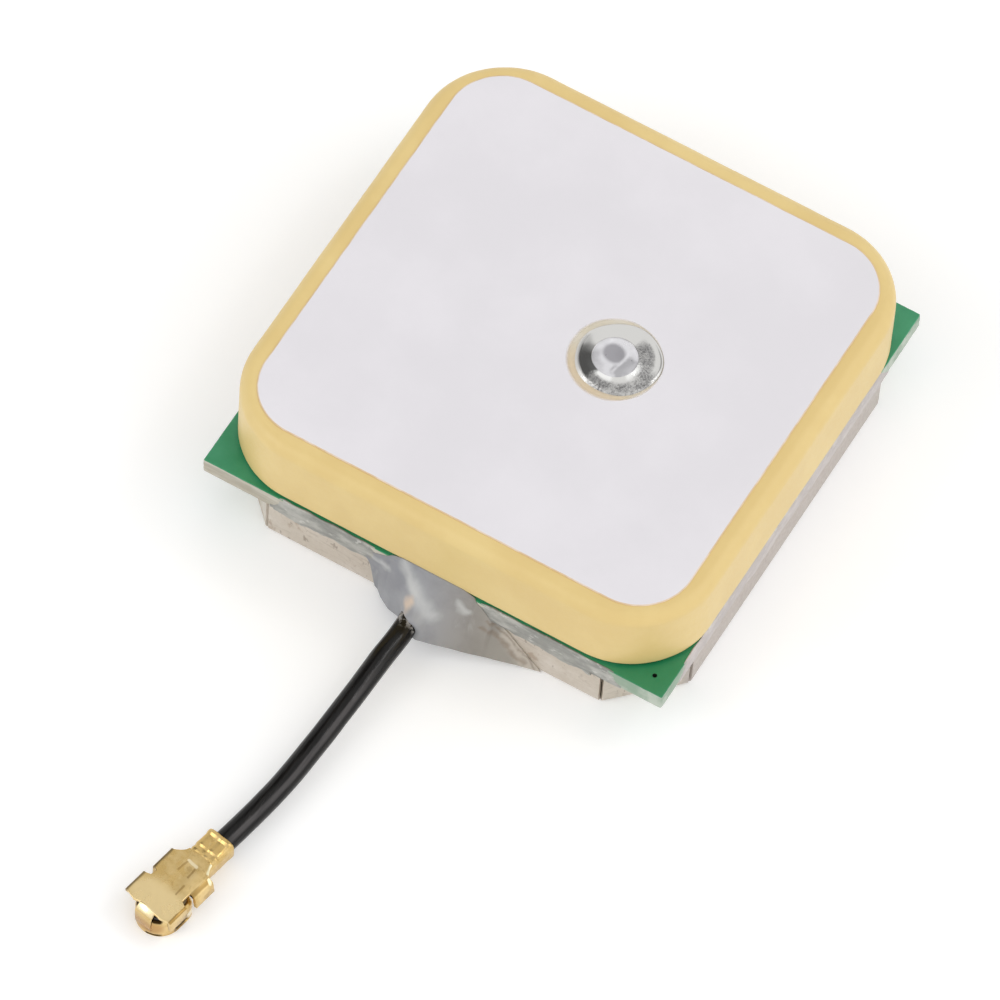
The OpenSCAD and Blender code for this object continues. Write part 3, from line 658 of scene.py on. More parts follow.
settle(makeCeramic(ceramic), "ceramic", "ceramic_block")


# printed silver patch with a slightly ragged edge

electrode = {"half": 11.5, "corner": 2.85, "low": 8.10, "high": 8.15, "ragged": 0.01, "rimRows": 3,
             "edge": [(0.0, -0.05), (0.0, -0.02), (0.02, -0.004), (0.06, 0.0), (0.4, 0.0), (2.0, 0.0)],
             "pin": pinSpot, "hole": 0.6}


def makeElectrode(e):
    outer, outward = edgeAndOutward(e["half"], e["corner"], 32, 120)
    ragged = []
    for p, n in zip(outer, outward):
        spot = (p.x, p.y, 0)
        ragged.append(p + n * e["ragged"] * (wobble(spot, 0.7) + 0.7 * wobble(spot, 2.6, 5.0)))
    rings = []
    for inset, drop in e["edge"]:
        z = e["high"] + drop
        rings.append([(p.x - n.x * inset, p.y - n.y * inset, z) for p, n in zip(ragged, outward)])
    addPinHole(rings, outer, e)
    verts, faces, rows = bridgeRings(rings, closed=True)
    slots = [1 if r < e["rimRows"] else 0 for r in rows]
    return meshPiece("topElectrode", verts, faces, [firedSilver, silverRim], slots, sharp=50)


settle(makeElectrode(electrode), "fired_silver", "top_electrode")


# feed pin with its solder dome and the flux that ran out round it

feedPin = {"shank": 0.5, "head": 1.16, "seat": 8.15, "high": 0.29, "tail": 2.35, "tip": 0.12, "rim": 0.19,
           "edge": 0.07, "flat": 0.62, "dish": 0.03, "dishAt": (2.36, 0.175), "dishWide": 0.4,
           "ripple": 0.006}
feedDome = {"outer": 2.08, "inner": 1.12, "seat": 8.15, "climb": 0.13, "reach": 0.8, "leanAt": 245,
            "lean": 0.7, "steps": 120, "rows": 24, "crowd": 1.6, "rimRows": 3, "ripple": 0.008,
            "lip": [(0.0, 0.0), (0.03, 0.023), (0.1, 0.07), (0.15, 0.087), (0.22, 0.095), (0.4, 0.095)]}
fluxRing = {"inner": 1.7, "outer": 2.3, "spread": 0.08, "leanAt": 222, "seat": 8.156, "high": 0.03,
            "steps": 120}


def makePin(p):
    seat, head, edge = p["seat"], p["head"], p["edge"]
    top, rim = seat + p["high"], seat + p["rim"]
    profile = [(0.0, p["tail"]), (p["shank"] - p["tip"], p["tail"]), (p["shank"], p["tail"] + p["tip"])]
    profile += [(p["shank"], seat), (head, seat)]
    for i in range(7):
        a = quarterTurn * i / 6
        profile.append((head - edge * (1 - math.cos(a)), rim - edge * (1 - math.sin(a))))
    crown = len(profile)
    for i in range(1, 9):
        t = i / 8
        radius = head - edge + (p["flat"] - head + edge) * t
        profile.append((radius, rim + (top - rim) * math.sin(t * quarterTurn)))
    for i in range(1, 11):
        profile.append((p["flat"] * (1 - i / 10), top))
    rings = turned(profile, pinSpot)
    for ring in rings[crown:]:
        for i, (x, y, z) in enumerate(ring):
            far = math.hypot(x - p["dishAt"][0], y - p["dishAt"][1])
            dish = p["dish"] * math.exp(-(far / p["dishWide"]) ** 2)
            ring[i] = (x, y, z - dish + p["ripple"] * wobble((x, y, 0), 2.2))
    return meshPiece("feedPin", *bridgeRings(rings)[:2], [pinMetal], sharp=60)


def makeDome(d):
    rings = []
    rows = d["rows"]
    for r in range(rows + 1):
        share = 1 - (1 - r / rows) ** d["crowd"]
        ring = []
        for i in range(d["steps"]):
            t = fullTurn * i / d["steps"]
            aim = Vector((math.cos(t), math.sin(t)))
            start = Vector(pinSpot) + aim * d["inner"]
            wide = d["outer"] + 0.04 * math.sin(2 * t + 0.6) + 0.02 * math.sin(5 * t)
            end = Vector(domeSpot) + aim * wide
            q = start.lerp(end, share)
            toRim = (end - q).length
            climb = max(0.0, 1 - (q - start).length / d["reach"]) ** 1.35
            broad = 1 + d["lean"] * max(0.0, math.cos(t - math.radians(d["leanAt"]))) ** 3
            ripple = d["ripple"] * wobble((q.x, q.y, 0), 1.6) * min(1.0, toRim / 0.2)
            z = d["seat"] + broad * between(toRim / broad, d["lip"]) + d["climb"] * climb + ripple
            ring.append((q.x, q.y, z))
        rings.append(ring)
    rings.append([(x, y, d["seat"]) for x, y, z in rings[0]])
    verts, faces, order = bridgeRings(rings, closed=True)
    slots = [1 if rows - d["rimRows"] <= r < rows else 0 for r in order]
    return meshPiece("feedSolder", verts, faces, [brightSolder, domeRim], slots, sharp=70)


def makeFlux(f):
    rings = [[], [], [], []]
    for i in range(f["steps"]):
        t = fullTurn * i / f["steps"]
        lean = max(0.0, math.cos(t - math.radians(f["leanAt"])))
        wide = f["outer"] + f["spread"] * lean + 0.018 * math.sin(3 * t + 1) + 0.01 * math.sin(8 * t)
        section = [(f["inner"], 0.0), (f["inner"] + 0.05, f["high"])]
        section += [(wide - 0.2, f["high"] * 0.7), (wide, 0.0)]
        for ring, (radius, z) in zip(rings, section):
            x, y = pinSpot[0] + radius * math.cos(t), pinSpot[1] + radius * math.sin(t)
            ring.append((x, y, f["seat"] + z))
    return meshPiece("fluxRing", *bridgeRings(rings, closed=True)[:2], [fluxFilm], sharp=30)


settle(makePin(feedPin), "solder", "feed_pin")
settle(makeDome(feedDome), "solder", "feed_solder")
settle(makeFlux(fluxRing), "adhesive")
print("ceramic, patch and feed made")


# circuit board: glass fibre core between two layers of mask, with a drilled via

board = {"half": 12.45, "corner": 0.1, "shift": -0.15, "low": 2.95, "high": 3.95, "mask": 0.04,
         "nick": 0.014, "lap": 1.2, "ease": (0.05, 0.02), "coreRows": 9, "pin": pinSpot, "hole": 0.6,
         "via": (11.55, -11.70), "viaRadius": 0.115, "drillPast": 0.3}


def makeBoard(b):
    perCorner, perSide = 4, 160
    low, high, mask, count = b["low"], b["high"], b["mask"], b["coreRows"]
    wide, slight = b["ease"]
    outer, outward = edgeAndOutward(b["half"], b["corner"], perCorner, perSide, 0.05)
    rows = [(b["lap"], low, 0), (wide, low, 1), (slight, low + mask, 1)]
    for i in range(count):
        rows.append((0.0, low + mask + (high - low - 2 * mask) * (i + 0.5) / count, 2))
    rows += [(slight, high - mask, 1), (wide, high, 1), (b["lap"], high, 0)]
    rings = []
    for inset, z, rough in rows:
        line = roundSquare(b["half"] - inset, max(0.01, b["corner"] - inset), perCorner, perSide)
        ring = []
        for p, n in zip(line, outward):
            spot = (p.x, p.y, z)
            push = b["nick"] * rough * 0.5 * (wobble(spot, 3.0) + wobble(spot, 9.0, 2.0))
            ring.append((p.x + n.x * push, p.y + n.y * push + b["shift"], z))
        rings.append(ring)
    addPinHole(rings, outer, b)
    verts, faces, order = bridgeRings(rings, closed=True)
    slots = [1 if 2 <= r < len(rows) - 3 else 0 for r in order]
    piece = meshPiece("circuitBoard", verts, faces, [greenMask, glassFibre, viaWall], slots, sharp=45)
    ends = [(b["viaRadius"], low - b["drillPast"]), (b["viaRadius"], high + b["drillPast"])]
    cutAway(piece, meshPiece("viaDrill", *loft(turned(ends, b["via"], 32)), [viaWall]))
    for polygon in piece.data.polygons:
        spot = polygon.center / mm
        far = math.hypot(spot.x - b["via"][0], spot.y - b["via"][1])
        if far < b["viaRadius"] * 1.02 and abs(polygon.normal.z) < 0.5:
            polygon.material_index = 2
    piece.data.set_sharp_from_angle(angle=math.radians(45))
    return piece


settle(makeBoard(board), "board", "circuit_board")


# shield can: floor and eight walls bent up from one sheet

can = {"wall": 12.225, "cornerWall": 15.097, "half": 9.01, "cornerHalf": 2.1, "sheet": 0.2, "fold": 0.3,
       "high": 2.95, "bow": 0.022, "edge": 0.03, "notch": (-1.05, 0.45), "notchLow": 1.0, "step": 0.3}


def wallSection(c, distance, high):
    fold, sheet, edge = c["fold"], c["sheet"], c["edge"]
    arc = [quarterTurn * i / 7 for i in range(8)]
    levels = [fold + (high - edge - fold) * i / 6 for i in range(1, 7)]
    low = fold - sheet
    section = [(distance - fold + fold * math.sin(a), fold - fold * math.cos(a)) for a in arc]
    section += [(distance, z) for z in levels]
    section += [(distance - edge, high), (distance - sheet + edge, high)]
    section += [(distance - sheet, z) for z in levels[::-1]]
    section += [(distance - fold + low * math.sin(a), fold - low * math.cos(a)) for a in arc[::-1]]
    return section


def foldedWall(c, distance, angle, start, end, high):
    turn = Matrix.Rotation(math.radians(angle), 2)
    count = max(4, int((end - start) / c["step"]))
    rings = []
    for k in range(count + 1):
        t = start + (end - start) * k / count
        ring = []
        for d, z in wallSection(c, distance, high):
            q = turn @ Vector((d, t))
            sway = c["bow"] * smoothStep(0.2, 1.5, z) * wobble((q.x, q.y, z), 0.32, 1.0)
            q = turn @ Vector((d + sway, t))
            ring.append((q.x, q.y, z))
        rings.append(ring)
    return loft(rings)


def makeCan(c):
    flat, slope = c["wall"] - c["fold"], (c["cornerWall"] - c["fold"]) * math.sqrt(2)
    reach = slope - flat
    outline = [(flat, -reach), (flat, reach), (reach, flat), (-reach, flat)]
    outline += [(-x, -y) for x, y in outline]
    shells = [loft([[(x, y, z) for x, y in outline] for z in (0.0, c["sheet"])])]
    left, right = c["notch"]
    for angle in (0, 90, 180):
        shells.append(foldedWall(c, c["wall"], angle, -c["half"], c["half"], c["high"]))
    notched = [(-c["half"], left, c["high"]), (left, right, c["notchLow"]), (right, c["half"], c["high"])]
    for start, end, high in notched:
        shells.append(foldedWall(c, c["wall"], 270, start, end, high))
    for angle in (45, 135, 225, 315):
        shells.append(foldedWall(c, c["cornerWall"], angle, -c["cornerHalf"], c["cornerHalf"], c["high"]))
    return meshPiece("shieldCan", *joinShells(shells), [tinPlate], sharp=40)


settle(makeCan(can), "tin_sheet", "shield_can")
print("board and can made")


# geometry node helpers

class growNet(nodeNet):
    def __init__(self, name, inputs):
        super().__init__(bpy.data.node_groups.new(name, "GeometryNodeTree"))
        self.tree.is_modifier = True
        sockets = self.tree.interface
        sockets.new_socket("Geometry", in_out="INPUT", socket_type="NodeSocketGeometry")
        self.keys = addInputs(self.tree, inputs)
        coating = sockets.new_socket("Finish", in_out="INPUT", socket_type="NodeSocketMaterial")
        self.keys["Finish"] = coating.identifier
        sockets.new_socket("Geometry", in_out="OUTPUT", socket_type="NodeSocketGeometry")
        self.given = self.tree.nodes.new("NodeGroupInput").outputs

    def geo(self, kind, inputs=None, **settings):
        return self.add("GeometryNode" + kind, inputs, **settings)[0]

    def close(self, geometry):
        real = self.geo("RealizeInstances", {"Geometry": geometry})
        coated = self.geo("SetMaterial", {"Geometry": real, "Material": self.given["Finish"]})
        self.join(coated, self.tree.nodes.new("NodeGroupOutput").inputs["Geometry"])

    def run(self, name, values, verts=(), edges=()):
        grower = addObject(name + "Grower", plainMesh(name, verts, [], [], edges))
        modifier = grower.modifiers.new("grow", "NODES")
        modifier.node_group = self.tree
        for label, value in values.items():
            modifier[self.keys[label]] = value
        bakeModifiers(grower)
        made = grower.data.copy()
        bpy.data.objects.remove(grower)
        return made


def joinMeshes(name, meshes):
    shape = bmesh.new()
    for mesh in meshes:
        shape.from_mesh(mesh)
    joined = bpy.data.meshes.new(name)
    shape.to_mesh(joined)
    shape.free()
    for material in meshes[0].materials:
        joined.materials.append(material)
    return joined


# solder seams: a lumpy bead along each wall, under the board's overhang

seamInputs = {"From": None, "To": None, "Reach": 0.00025, "Height": 0.0006, "Lumps": 700.0, "Seed": 0.0}
seam = growNet("solderSeam", seamInputs)
gi = seam.given
line = seam.geo("CurvePrimitiveLine", {"Start": gi["From"], "End": gi["To"]})
dense = seam.geo("ResampleCurve", {"Curve": line, "Count": 150})
upright = seam.geo("SetCurveNormal", {"Curve": dense}, mode="Z_UP")
flatten = seam.add("ShaderNodeCombineXYZ", {0: gi["Reach"], 1: gi["Height"], 2: 1.0})[0]
hoop = seam.geo("CurvePrimitiveCircle", {"Resolution": 20, "Radius": 1.0})
profile = seam.geo("Transform", {"Geometry": hoop, "Scale": flatten})
spot = seam.geo("InputPosition")
lumps = {"Vector": spot, "W": gi["Seed"], "Scale": gi["Lumps"], "Detail": 3.0}
swell = seam.add("ShaderNodeTexNoise", lumps, noise_dimensions="4D")[0]
limits = {"Value": swell, "From Min": 0.3, "From Max": 0.7, "To Min": 0.6, "To Max": 1.12}
size = seam.add("ShaderNodeMapRange", limits)[0]
beadInputs = {"Curve": upright, "Profile Curve": profile, "Scale": size, "Fill Caps": True}
bead = seam.geo("CurveToMesh", beadInputs)
ripple = seam.scaled(seam.centred(seam.noiseAt(spot, 2200.0, 2.0, "Color")), 0.00012)
seam.close(seam.geo("SetPosition", {"Geometry": bead, "Offset": ripple}))

# runs: from, to, reach and height of each bead
seams = {"lift": 2.98, "lumps": 620.0, "seed": 1.7,
         "runs": [((12.27, -8.4), (12.27, 8.4), 0.2, 0.5), ((-12.27, 8.4), (-12.27, -8.4), 0.2, 0.5),
                  ((-8.6, -12.36), (-1.2, -12.36), 0.27, 0.62), ((0.6, -12.36), (8.6, -12.36), 0.27, 0.62)]}
# runs: angle of the wall, board's edge, start, end and seed of each smear
smears = {"top": 3.92, "ragged": 0.05, "low": 2.25, "wall": 12.225, "fade": 0.9, "under": 2.97,
          "boardTop": 3.962, "thick": (0.016, 0.03), "step": 0.08, "rough": 0.014, "bite": 0.06,
          "wallEnds": (8.2, 8.8),
          "runs": [(270, 12.6, -8.75, -2.6, 0.0), (270, 12.6, 2.2, 10.3, 3.0),
                   (0, 12.45, -10.9, 9.2, 6.0), (180, 12.45, -8.5, 8.5, 9.0)]}


def smearSection(s, edge, t, fade, seed):
    top = s["top"] + s["ragged"] * wobble((t, 0, 0), 1.1, seed) - 0.8 * (1 - fade)
    low = s["low"] + 0.4 * wobble((t, 1, 0), 0.6, seed) + 0.16 * wobble((t, 2, 0), 2.3, seed)
    low += 0.6 * (1 - fade)
    low += (s["under"] - 0.005 - low) * smoothStep(*s["wallEnds"], abs(t))
    thick = s["thick"][0] + s["thick"][1] * (0.5 + wobble((t, 3, 0), 0.9, seed))
    spill = 0.06 + (0.05 + 0.06 * wobble((t, 4, 0), 1.4, seed)) * smoothStep(0.5, 1.0, fade)
    crest = max(top, s["boardTop"]) if fade > 0.5 else top
    under, wall, bite, out = s["under"], s["wall"], s["bite"], edge + thick
    section = [(edge - spill, crest), (edge - 0.5 * spill, crest + 0.012)]
    section += [(edge + 0.4 * thick, top - 0.015)]
    section += [(out, top - bite - (top - bite - under) * i / 8) for i in range(9)]
    for i in range(1, 9):
        a = i / 8 * quarterTurn
        d = out + (wall + 0.008 - out) * math.sin(a) ** 1.2
        section.append((d, under + (low - under) * (1 - math.cos(a))))
    outside = len(section)
    section += [(wall - bite, low), (wall - bite, 2.9), (edge - bite, 3.05), (edge - spill, crest - 0.03)]
    return section, outside


def smearStrip(s, angle, edge, start, end, seed):
    turn = Matrix.Rotation(math.radians(angle), 2)
    count = int((end - start) / s["step"])
    rings = []
    for k in range(count + 1):
        t = start + (end - start) * k / count
        fade = smoothStep(0.0, s["fade"], t - start) * smoothStep(0.0, s["fade"], end - t)
        section, outside = smearSection(s, edge, t, fade, seed)
        ring = []
        for i, (d, z) in enumerate(section):
            rough = 0.0
            if 2 <= i < outside - 1:
                rough = s["rough"] * (wobble((t, z, 0), 2.6, seed) + wobble((t, z, 0), 6.0, seed))
            q = turn @ Vector((d + rough * fade, t))
            ring.append((q.x, q.y, z))
        rings.append(ring)
    return loft(rings)


def makeSeams(s):
    strips = joinShells([smearStrip(smears, *run) for run in smears["runs"]])
    meshes = [plainMesh("smears", *strips, [smearedSolder])]
    for i, (start, end, reach, high) in enumerate(s["runs"]):
        values = {"From": spotMm(*start, s["lift"]), "To": spotMm(*end, s["lift"]), "Reach": reach * mm,
                  "Height": high * mm, "Lumps": s["lumps"], "Seed": s["seed"] * i, "Finish": smearedSolder}
        meshes.append(seam.run("seam", values))
    return dressMesh("shieldSolder", joinMeshes("shieldSolder", meshes))


settle(makeSeams(seams), "solder", "shield_solder")


# glue web: from the board's front edge to a ridge that runs from the lead's tip down to the can's foot

glue = {"wall": -12.225, "edge": 0.375, "span": (-4.2, 5.9), "columns": 170, "rows": 56,
        "lead": (-0.05, 1.75), "ridgeShare": 0.72, "blend": 0.15, "skin": 0.03, "ripple": 0.05,
        "sleeve": [(0.0, 2.17), (0.55, 2.1), (0.68, 1.9), (0.8, 1.55), (1.1, 1.2), (1.6, 0.8), (2.2, 0.0)],
        "ridgeDepth": [(-4.4, 0.03), (-3.2, 0.04), (-2.95, 0.22), (-2.44, 0.74), (-1.69, 1.28),
                       (-0.92, 1.58), (-0.55, 1.85), (-0.1, 2.2), (0.35, 2.3), (1.49, 1.84),
                       (3.13, 1.14), (4.75, 0.46), (5.9, 0.03)],
        "ridgeHigh": [(-4.4, 3.18), (-3.55, 3.1), (-3.25, 2.4), (-3.08, 1.4), (-2.95, 0.68), (-2.8, 0.55),
                      (-2.3, 0.75), (-1.2, 1.15), (-0.3, 1.45), (0.4, 1.35), (5.9, 0.06)],
        "top": [(-4.4, 3.2), (-3.6, 3.4), (-2.7, 3.75), (-2.0, 4.12), (-1.6, 4.26), (1.7, 4.26), (2.3, 4.05),
                (2.9, 3.5), (3.7, 2.45), (5.9, 0.12)],
        "low": [(-4.4, 3.15), (-3.55, 3.02), (-3.25, 2.2), (-3.08, 1.2), (-2.97, 0.3), (-2.9, 0.05),
                (5.9, 0.02)]}


def glueBack(g, z):
    # the can's wall, the board's edge in front of it, and the ceramic's foot above
    return (g["edge"] - 0.02) * smoothStep(2.85, 2.97, z) - 0.08 * smoothStep(3.94, 4.02, z)


def gluePoint(g, x, s):
    ridge, high = between(x, g["ridgeDepth"]), between(x, g["ridgeHigh"])
    top, low = between(x, g["top"]), between(x, g["low"])
    share, blend = g["ridgeShare"], g["blend"]
    rim = glueBack(g, top) + g["skin"]
    if s <= share:
        t = s / share
        z = top + (high - top) * t
        depth = rim + (max(ridge, rim) - rim) * t * (1.12 - 0.12 * t)
        depth = max(depth, glueBack(g, z) + 0.05)
    else:
        t = (s - share) / (1 - share)
        z = high + (low - high) * (1 - math.cos(t * quarterTurn))
        depth = max(ridge, g["skin"]) * math.sin((1 - t) * quarterTurn) ** 0.7 if t < 1 else 0.0
    ring = between(math.hypot(x - g["lead"][0], z - g["lead"][1]), g["sleeve"])
    gap = max(0.0, min(1.0, 0.5 + 0.5 * (ring - depth) / blend))
    if z > 0.5:
        depth = depth + (ring - depth) * gap + blend * gap * (1 - gap)
    depth += g["ripple"] * wobble((x, 0, z), 0.8) * min(1.0, depth)
    return z, depth


def makeGlue(g):
    first, last = g["span"]
    rings = []
    for i in range(g["columns"] + 1):
        x = first + (last - first) * i / g["columns"]
        faceRow, backRow = [], []
        for k in range(g["rows"] + 1):
            z, depth = gluePoint(g, x, k / g["rows"])
            back = glueBack(g, z)
            faceRow.append((x, g["wall"] - max(depth, back + 0.012), z))
            backRow.append((x, g["wall"] - back, z))
        rings.append(faceRow + backRow[::-1])
    return meshPiece("glueBead", *loft(rings), [cloudyGlue], sharp=80)


settle(makeGlue(glue), "glue", "glue_bead")


# lead: jacket swept along the route, braid strands wound round the stripped end

lead = {"radius": 0.565, "sides": 28, "dent": 0.02,
        "route": [(-0.3, -13.75, 1.75), (-0.3, -15.025, 1.75), (-0.4, -16.525, 1.715),
                  (-0.5, -18.525, 1.61), (-0.6, -20.025, 1.505), (-0.75, -22.025, 1.365),
                  (-0.95, -23.925, 1.19), (-1.2, -25.525, 1.085), (-1.5, -27.125, 1.05),
                  (-1.8, -28.625, 1.05), (-1.95, -29.425, 1.05)]}

sweep = growNet("leadSweep", {"Radius": 0.00056, "Sides": 24, "Dent": 0.00002})
gi = sweep.given
path = sweep.geo("MeshToCurve", {"Mesh": gi["Geometry"]})
hoop = sweep.geo("CurvePrimitiveCircle", {"Resolution": gi["Sides"], "Radius": gi["Radius"]})
skin = sweep.geo("CurveToMesh", {"Curve": path, "Profile Curve": hoop, "Fill Caps": True})
press = sweep.maths("SUBTRACT", sweep.noiseAt(sweep.geo("InputPosition"), 620.0, 1.0), 0.5)
facing = sweep.geo("InputNormal")
push = sweep.scaled(facing, sweep.times(press, gi["Dent"]))
dented = sweep.geo("SetPosition", {"Geometry": skin, "Offset": push})
# the flank marks the side of the jacket where its sheen is painted
sheenWay = (0.951, -0.075, -0.3)
flank = {"Geometry": dented, "Name": "flank", "Value": sweep.dot(facing, sheenWay)}
sweep.close(sweep.geo("StoreNamedAttribute", flank))


def smoothRoute(points, per=12):
    track = [Vector(p) for p in points]
    ends = [2 * track[0] - track[1]] + track + [2 * track[-1] - track[-2]]
    smooth = []
    for a, b, c, d in zip(ends, ends[1:], ends[2:], ends[3:]):
        for i in range(per):
            t = i / per
            smooth.append(0.5 * (2 * b + (c - a) * t + (2 * a - 5 * b + 4 * c - d) * t * t
                                 + (3 * b - a - 3 * c + d) * t ** 3))
    return smooth + [track[-1]]


def makeLead(l):
    route = smoothRoute(l["route"])
    steps = [(i, i + 1) for i in range(len(route) - 1)]
    values = {"Radius": l["radius"] * mm, "Sides": l["sides"], "Dent": 2 * l["dent"] * mm,
              "Finish": blackJacket}
    return dressMesh("coaxJacket", sweep.run("jacket", values, route, steps), sharp=60)


settle(makeLead(lead), "jacket", "coax_jacket")

braidInputs = {"From": None, "Length": 0.003, "Radius": 0.0004, "Turns": 1.0, "Strand": 0.00006, "Count": 12}
winding = growNet("braidStrands", braidInputs)
gi = winding.given
along = winding.add("ShaderNodeCombineXYZ", {1: gi["Length"]})[0]
axis = winding.geo("CurvePrimitiveLine", {"End": along})
steps = winding.geo("ResampleCurve", {"Curve": axis, "Count": 40})
turns = winding.times(winding.geo("SplineParameter"), gi["Turns"])
strand = winding.geo("CurvePrimitiveCircle", {"Resolution": 6, "Radius": gi["Strand"]})
copies = winding.geo("MeshLine", {"Count": gi["Count"], "Offset": (0, 0, 0)})
wedge = winding.maths("DIVIDE", fullTurn, gi["Count"])
around = winding.add("ShaderNodeCombineXYZ", {1: winding.times(winding.geo("InputIndex"), wedge)})[0]
both = winding.tree.nodes.new("GeometryNodeJoinGeometry")
for sense in (fullTurn, -fullTurn):
    swing = winding.times(turns, sense)
    x = winding.times(winding.maths("COSINE", swing), gi["Radius"])
    z = winding.times(winding.maths("SINE", swing), gi["Radius"])
    aside = winding.add("ShaderNodeCombineXYZ", {0: x, 2: z})[0]
    helix = winding.geo("SetPosition", {"Geometry": steps, "Offset": aside})
    wire = winding.geo("CurveToMesh", {"Curve": helix, "Profile Curve": strand, "Fill Caps": True})
    crowd = winding.geo("InstanceOnPoints", {"Points": copies, "Instance": wire, "Rotation": around})
    winding.join(crowd, both.inputs[0])
winding.close(winding.geo("Transform", {"Geometry": both.outputs[0], "Translation": gi["From"]}))

braid = {"start": (-0.3, -13.75, 1.75), "length": 2.7, "radius": 0.385, "turns": 1.2, "strand": 0.055,
         "count": 12}


def makeBraid(b):
    values = {"From": Vector(b["start"]) * mm, "Length": b["length"] * mm, "Radius": b["radius"] * mm,
              "Turns": b["turns"], "Strand": b["strand"] * mm, "Count": b["count"], "Finish": copperStrands}
    return dressMesh("coaxBraid", winding.run("braid", values))


settle(makeBraid(braid), "copper", "coax_braid")
print("solder, glue and lead made")


# plug: stamped shell in its own axes, u towards the tip, v to its right seen from above, w up
# bands: steps of the crimping dies, each facing the tip; twice, over: bends of a flap and the strap

plug = {"high": 1.85, "sheet": 0.17, "crimpHigh": 1.05, "bore": 0.575, "neck": (-2.81, 0.7),
        "shoulder": 0.56, "rearLeft": 1.22, "rearRight": 0.97, "frontLeft": 1.37, "frontRight": 1.22,
        "strap": (-0.5, 0.42), "panel": (-2.2, -0.55, -0.28, 0.4), "panelDeep": 0.03, "panelSlope": 0.07,
        "strapFrom": 0.84, "ring": (1.16, 1.2, 1.15), "ringWall": 0.11, "groove": 0.085, "ringHigh": 1.3,
        "crimpWide": 0.76, "crimpTall": (0.79, 0.68), "seamDeep": 0.035, "crimpSteps": 72, "ringSteps": 160,
        "bands": [(-4.27, 0.02), (-4.2, 0.05), (-4.09, 0.055), (-3.97, -0.02), (-3.5, 0.0), (-3.31, 0.02),
                  (-3.21, -0.05), (-3.05, -0.01), (-3.0, 0.01), (-2.88, -0.05), (-2.7, -0.03), (-2.45, 0.0)],
        "twice": [(0.0, -0.001), (0.03, -0.008), (0.06, -0.02), (0.25, -0.12), (0.29, -0.16), (0.32, -0.22),
                  (0.42, -0.85)],
        "over": [(0.0, -0.001), (0.02, -0.008), (0.33, -0.245), (0.36, -0.29), (0.37, -0.36), (0.35, -1.1),
                 (0.3, -1.4)]}
foldStart = [(-0.12, -0.04), (-0.03, -0.008)]


def plugSpot(u, v, w):
    hx, hy = plugHeading
    return (plugAxis[0] + u * hx - v * hy, plugAxis[1] + u * hy + v * hx, w)


def bentStrip(line, sheet):
    # sheet laid along an open line of (across, up) spots, with its thickness below
    below = []
    for i, (a, b) in enumerate(line):
        a0, b0 = line[max(0, i - 1)]
        a1, b1 = line[min(len(line) - 1, i + 1)]
        size = math.hypot(a1 - a0, b1 - b0)
        below.append((a + sheet * (b1 - b0) / size, b - sheet * (a1 - a0) / size))
    return line + below[::-1]


def foldLine(radius, drop, turn=90, steps=8):
    line = list(foldStart)
    for i in range(steps + 1):
        a = math.radians(turn) * i / steps
        line.append((radius * math.sin(a), radius * math.cos(a) - radius))
    a, b = line[-1]
    line.append((a + drop * math.cos(math.radians(turn)), b - drop * math.sin(math.radians(turn))))
    return line


def sideFlap(p, start, end, side, base, line):
    section = bentStrip(line, p["sheet"])
    return loft([[plugSpot(u, side * (base + v), p["high"] + w) for v, w in section] for u in (start, end)])


def plugPlate(p):
    neckU, neckV = p["neck"]

    def shoulder(width):
        steps = (0.0, 0.25, 0.45, 0.65, 0.85, 1.0)
        return [(neckU + p["shoulder"] * t, neckV + (width - neckV) * t ** 1.8) for t in steps]
    rearLeft, frontLeft, frontRight = p["rearLeft"], p["frontLeft"], p["frontRight"]
    outline = [(u, -v) for u, v in shoulder(rearLeft)]
    outline += [(-0.95, -rearLeft), (-0.86, -1.06), (-0.56, -1.1), (-0.47, -frontLeft), (0.78, -frontLeft)]
    outline += [(0.95, -0.82), (p["strapFrom"], p["strap"][0]), (0.92, p["strap"][1]), (0.95, 0.8)]
    outline += [(0.82, frontRight), (-0.32, frontRight), (-0.45, 0.94), (-0.86, 0.94)]
    outline += [(-0.97, p["rearRight"])] + shoulder(p["rearRight"])[::-1]
    levels = (p["high"] - p["sheet"], p["high"])
    sheet = loft([[plugSpot(u, v, w) for u, v in outline] for w in levels])
    plate = meshPiece("plugPlate", *sheet, [giltShell])
    u0, u1, v0, v1 = p["panel"]
    deep, slope = p["panelDeep"], p["panelSlope"]
    rings = []
    for grow, w in ((0.0, -deep), (slope, 0.0), (slope * 2, deep)):
        low, high = (u0 - grow, v0 - grow), (u1 + grow, v1 + grow)
        corners = (low, (high[0], low[1]), high, (low[0], high[1]))
        rings.append([plugSpot(u, v, p["high"] + w) for u, v in corners])
    cutAway(plate, meshPiece("panelPress", *loft(rings), [giltShell]))
    roundEdges(plate, 0.035, 3, 60)
    mesh = plate.data
    bpy.data.objects.remove(plate)
    return mesh


def squareRound(a, power):
    c, s = math.cos(a), math.sin(a)
    return (abs(c) ** power + abs(s) ** power) ** (-1 / power)


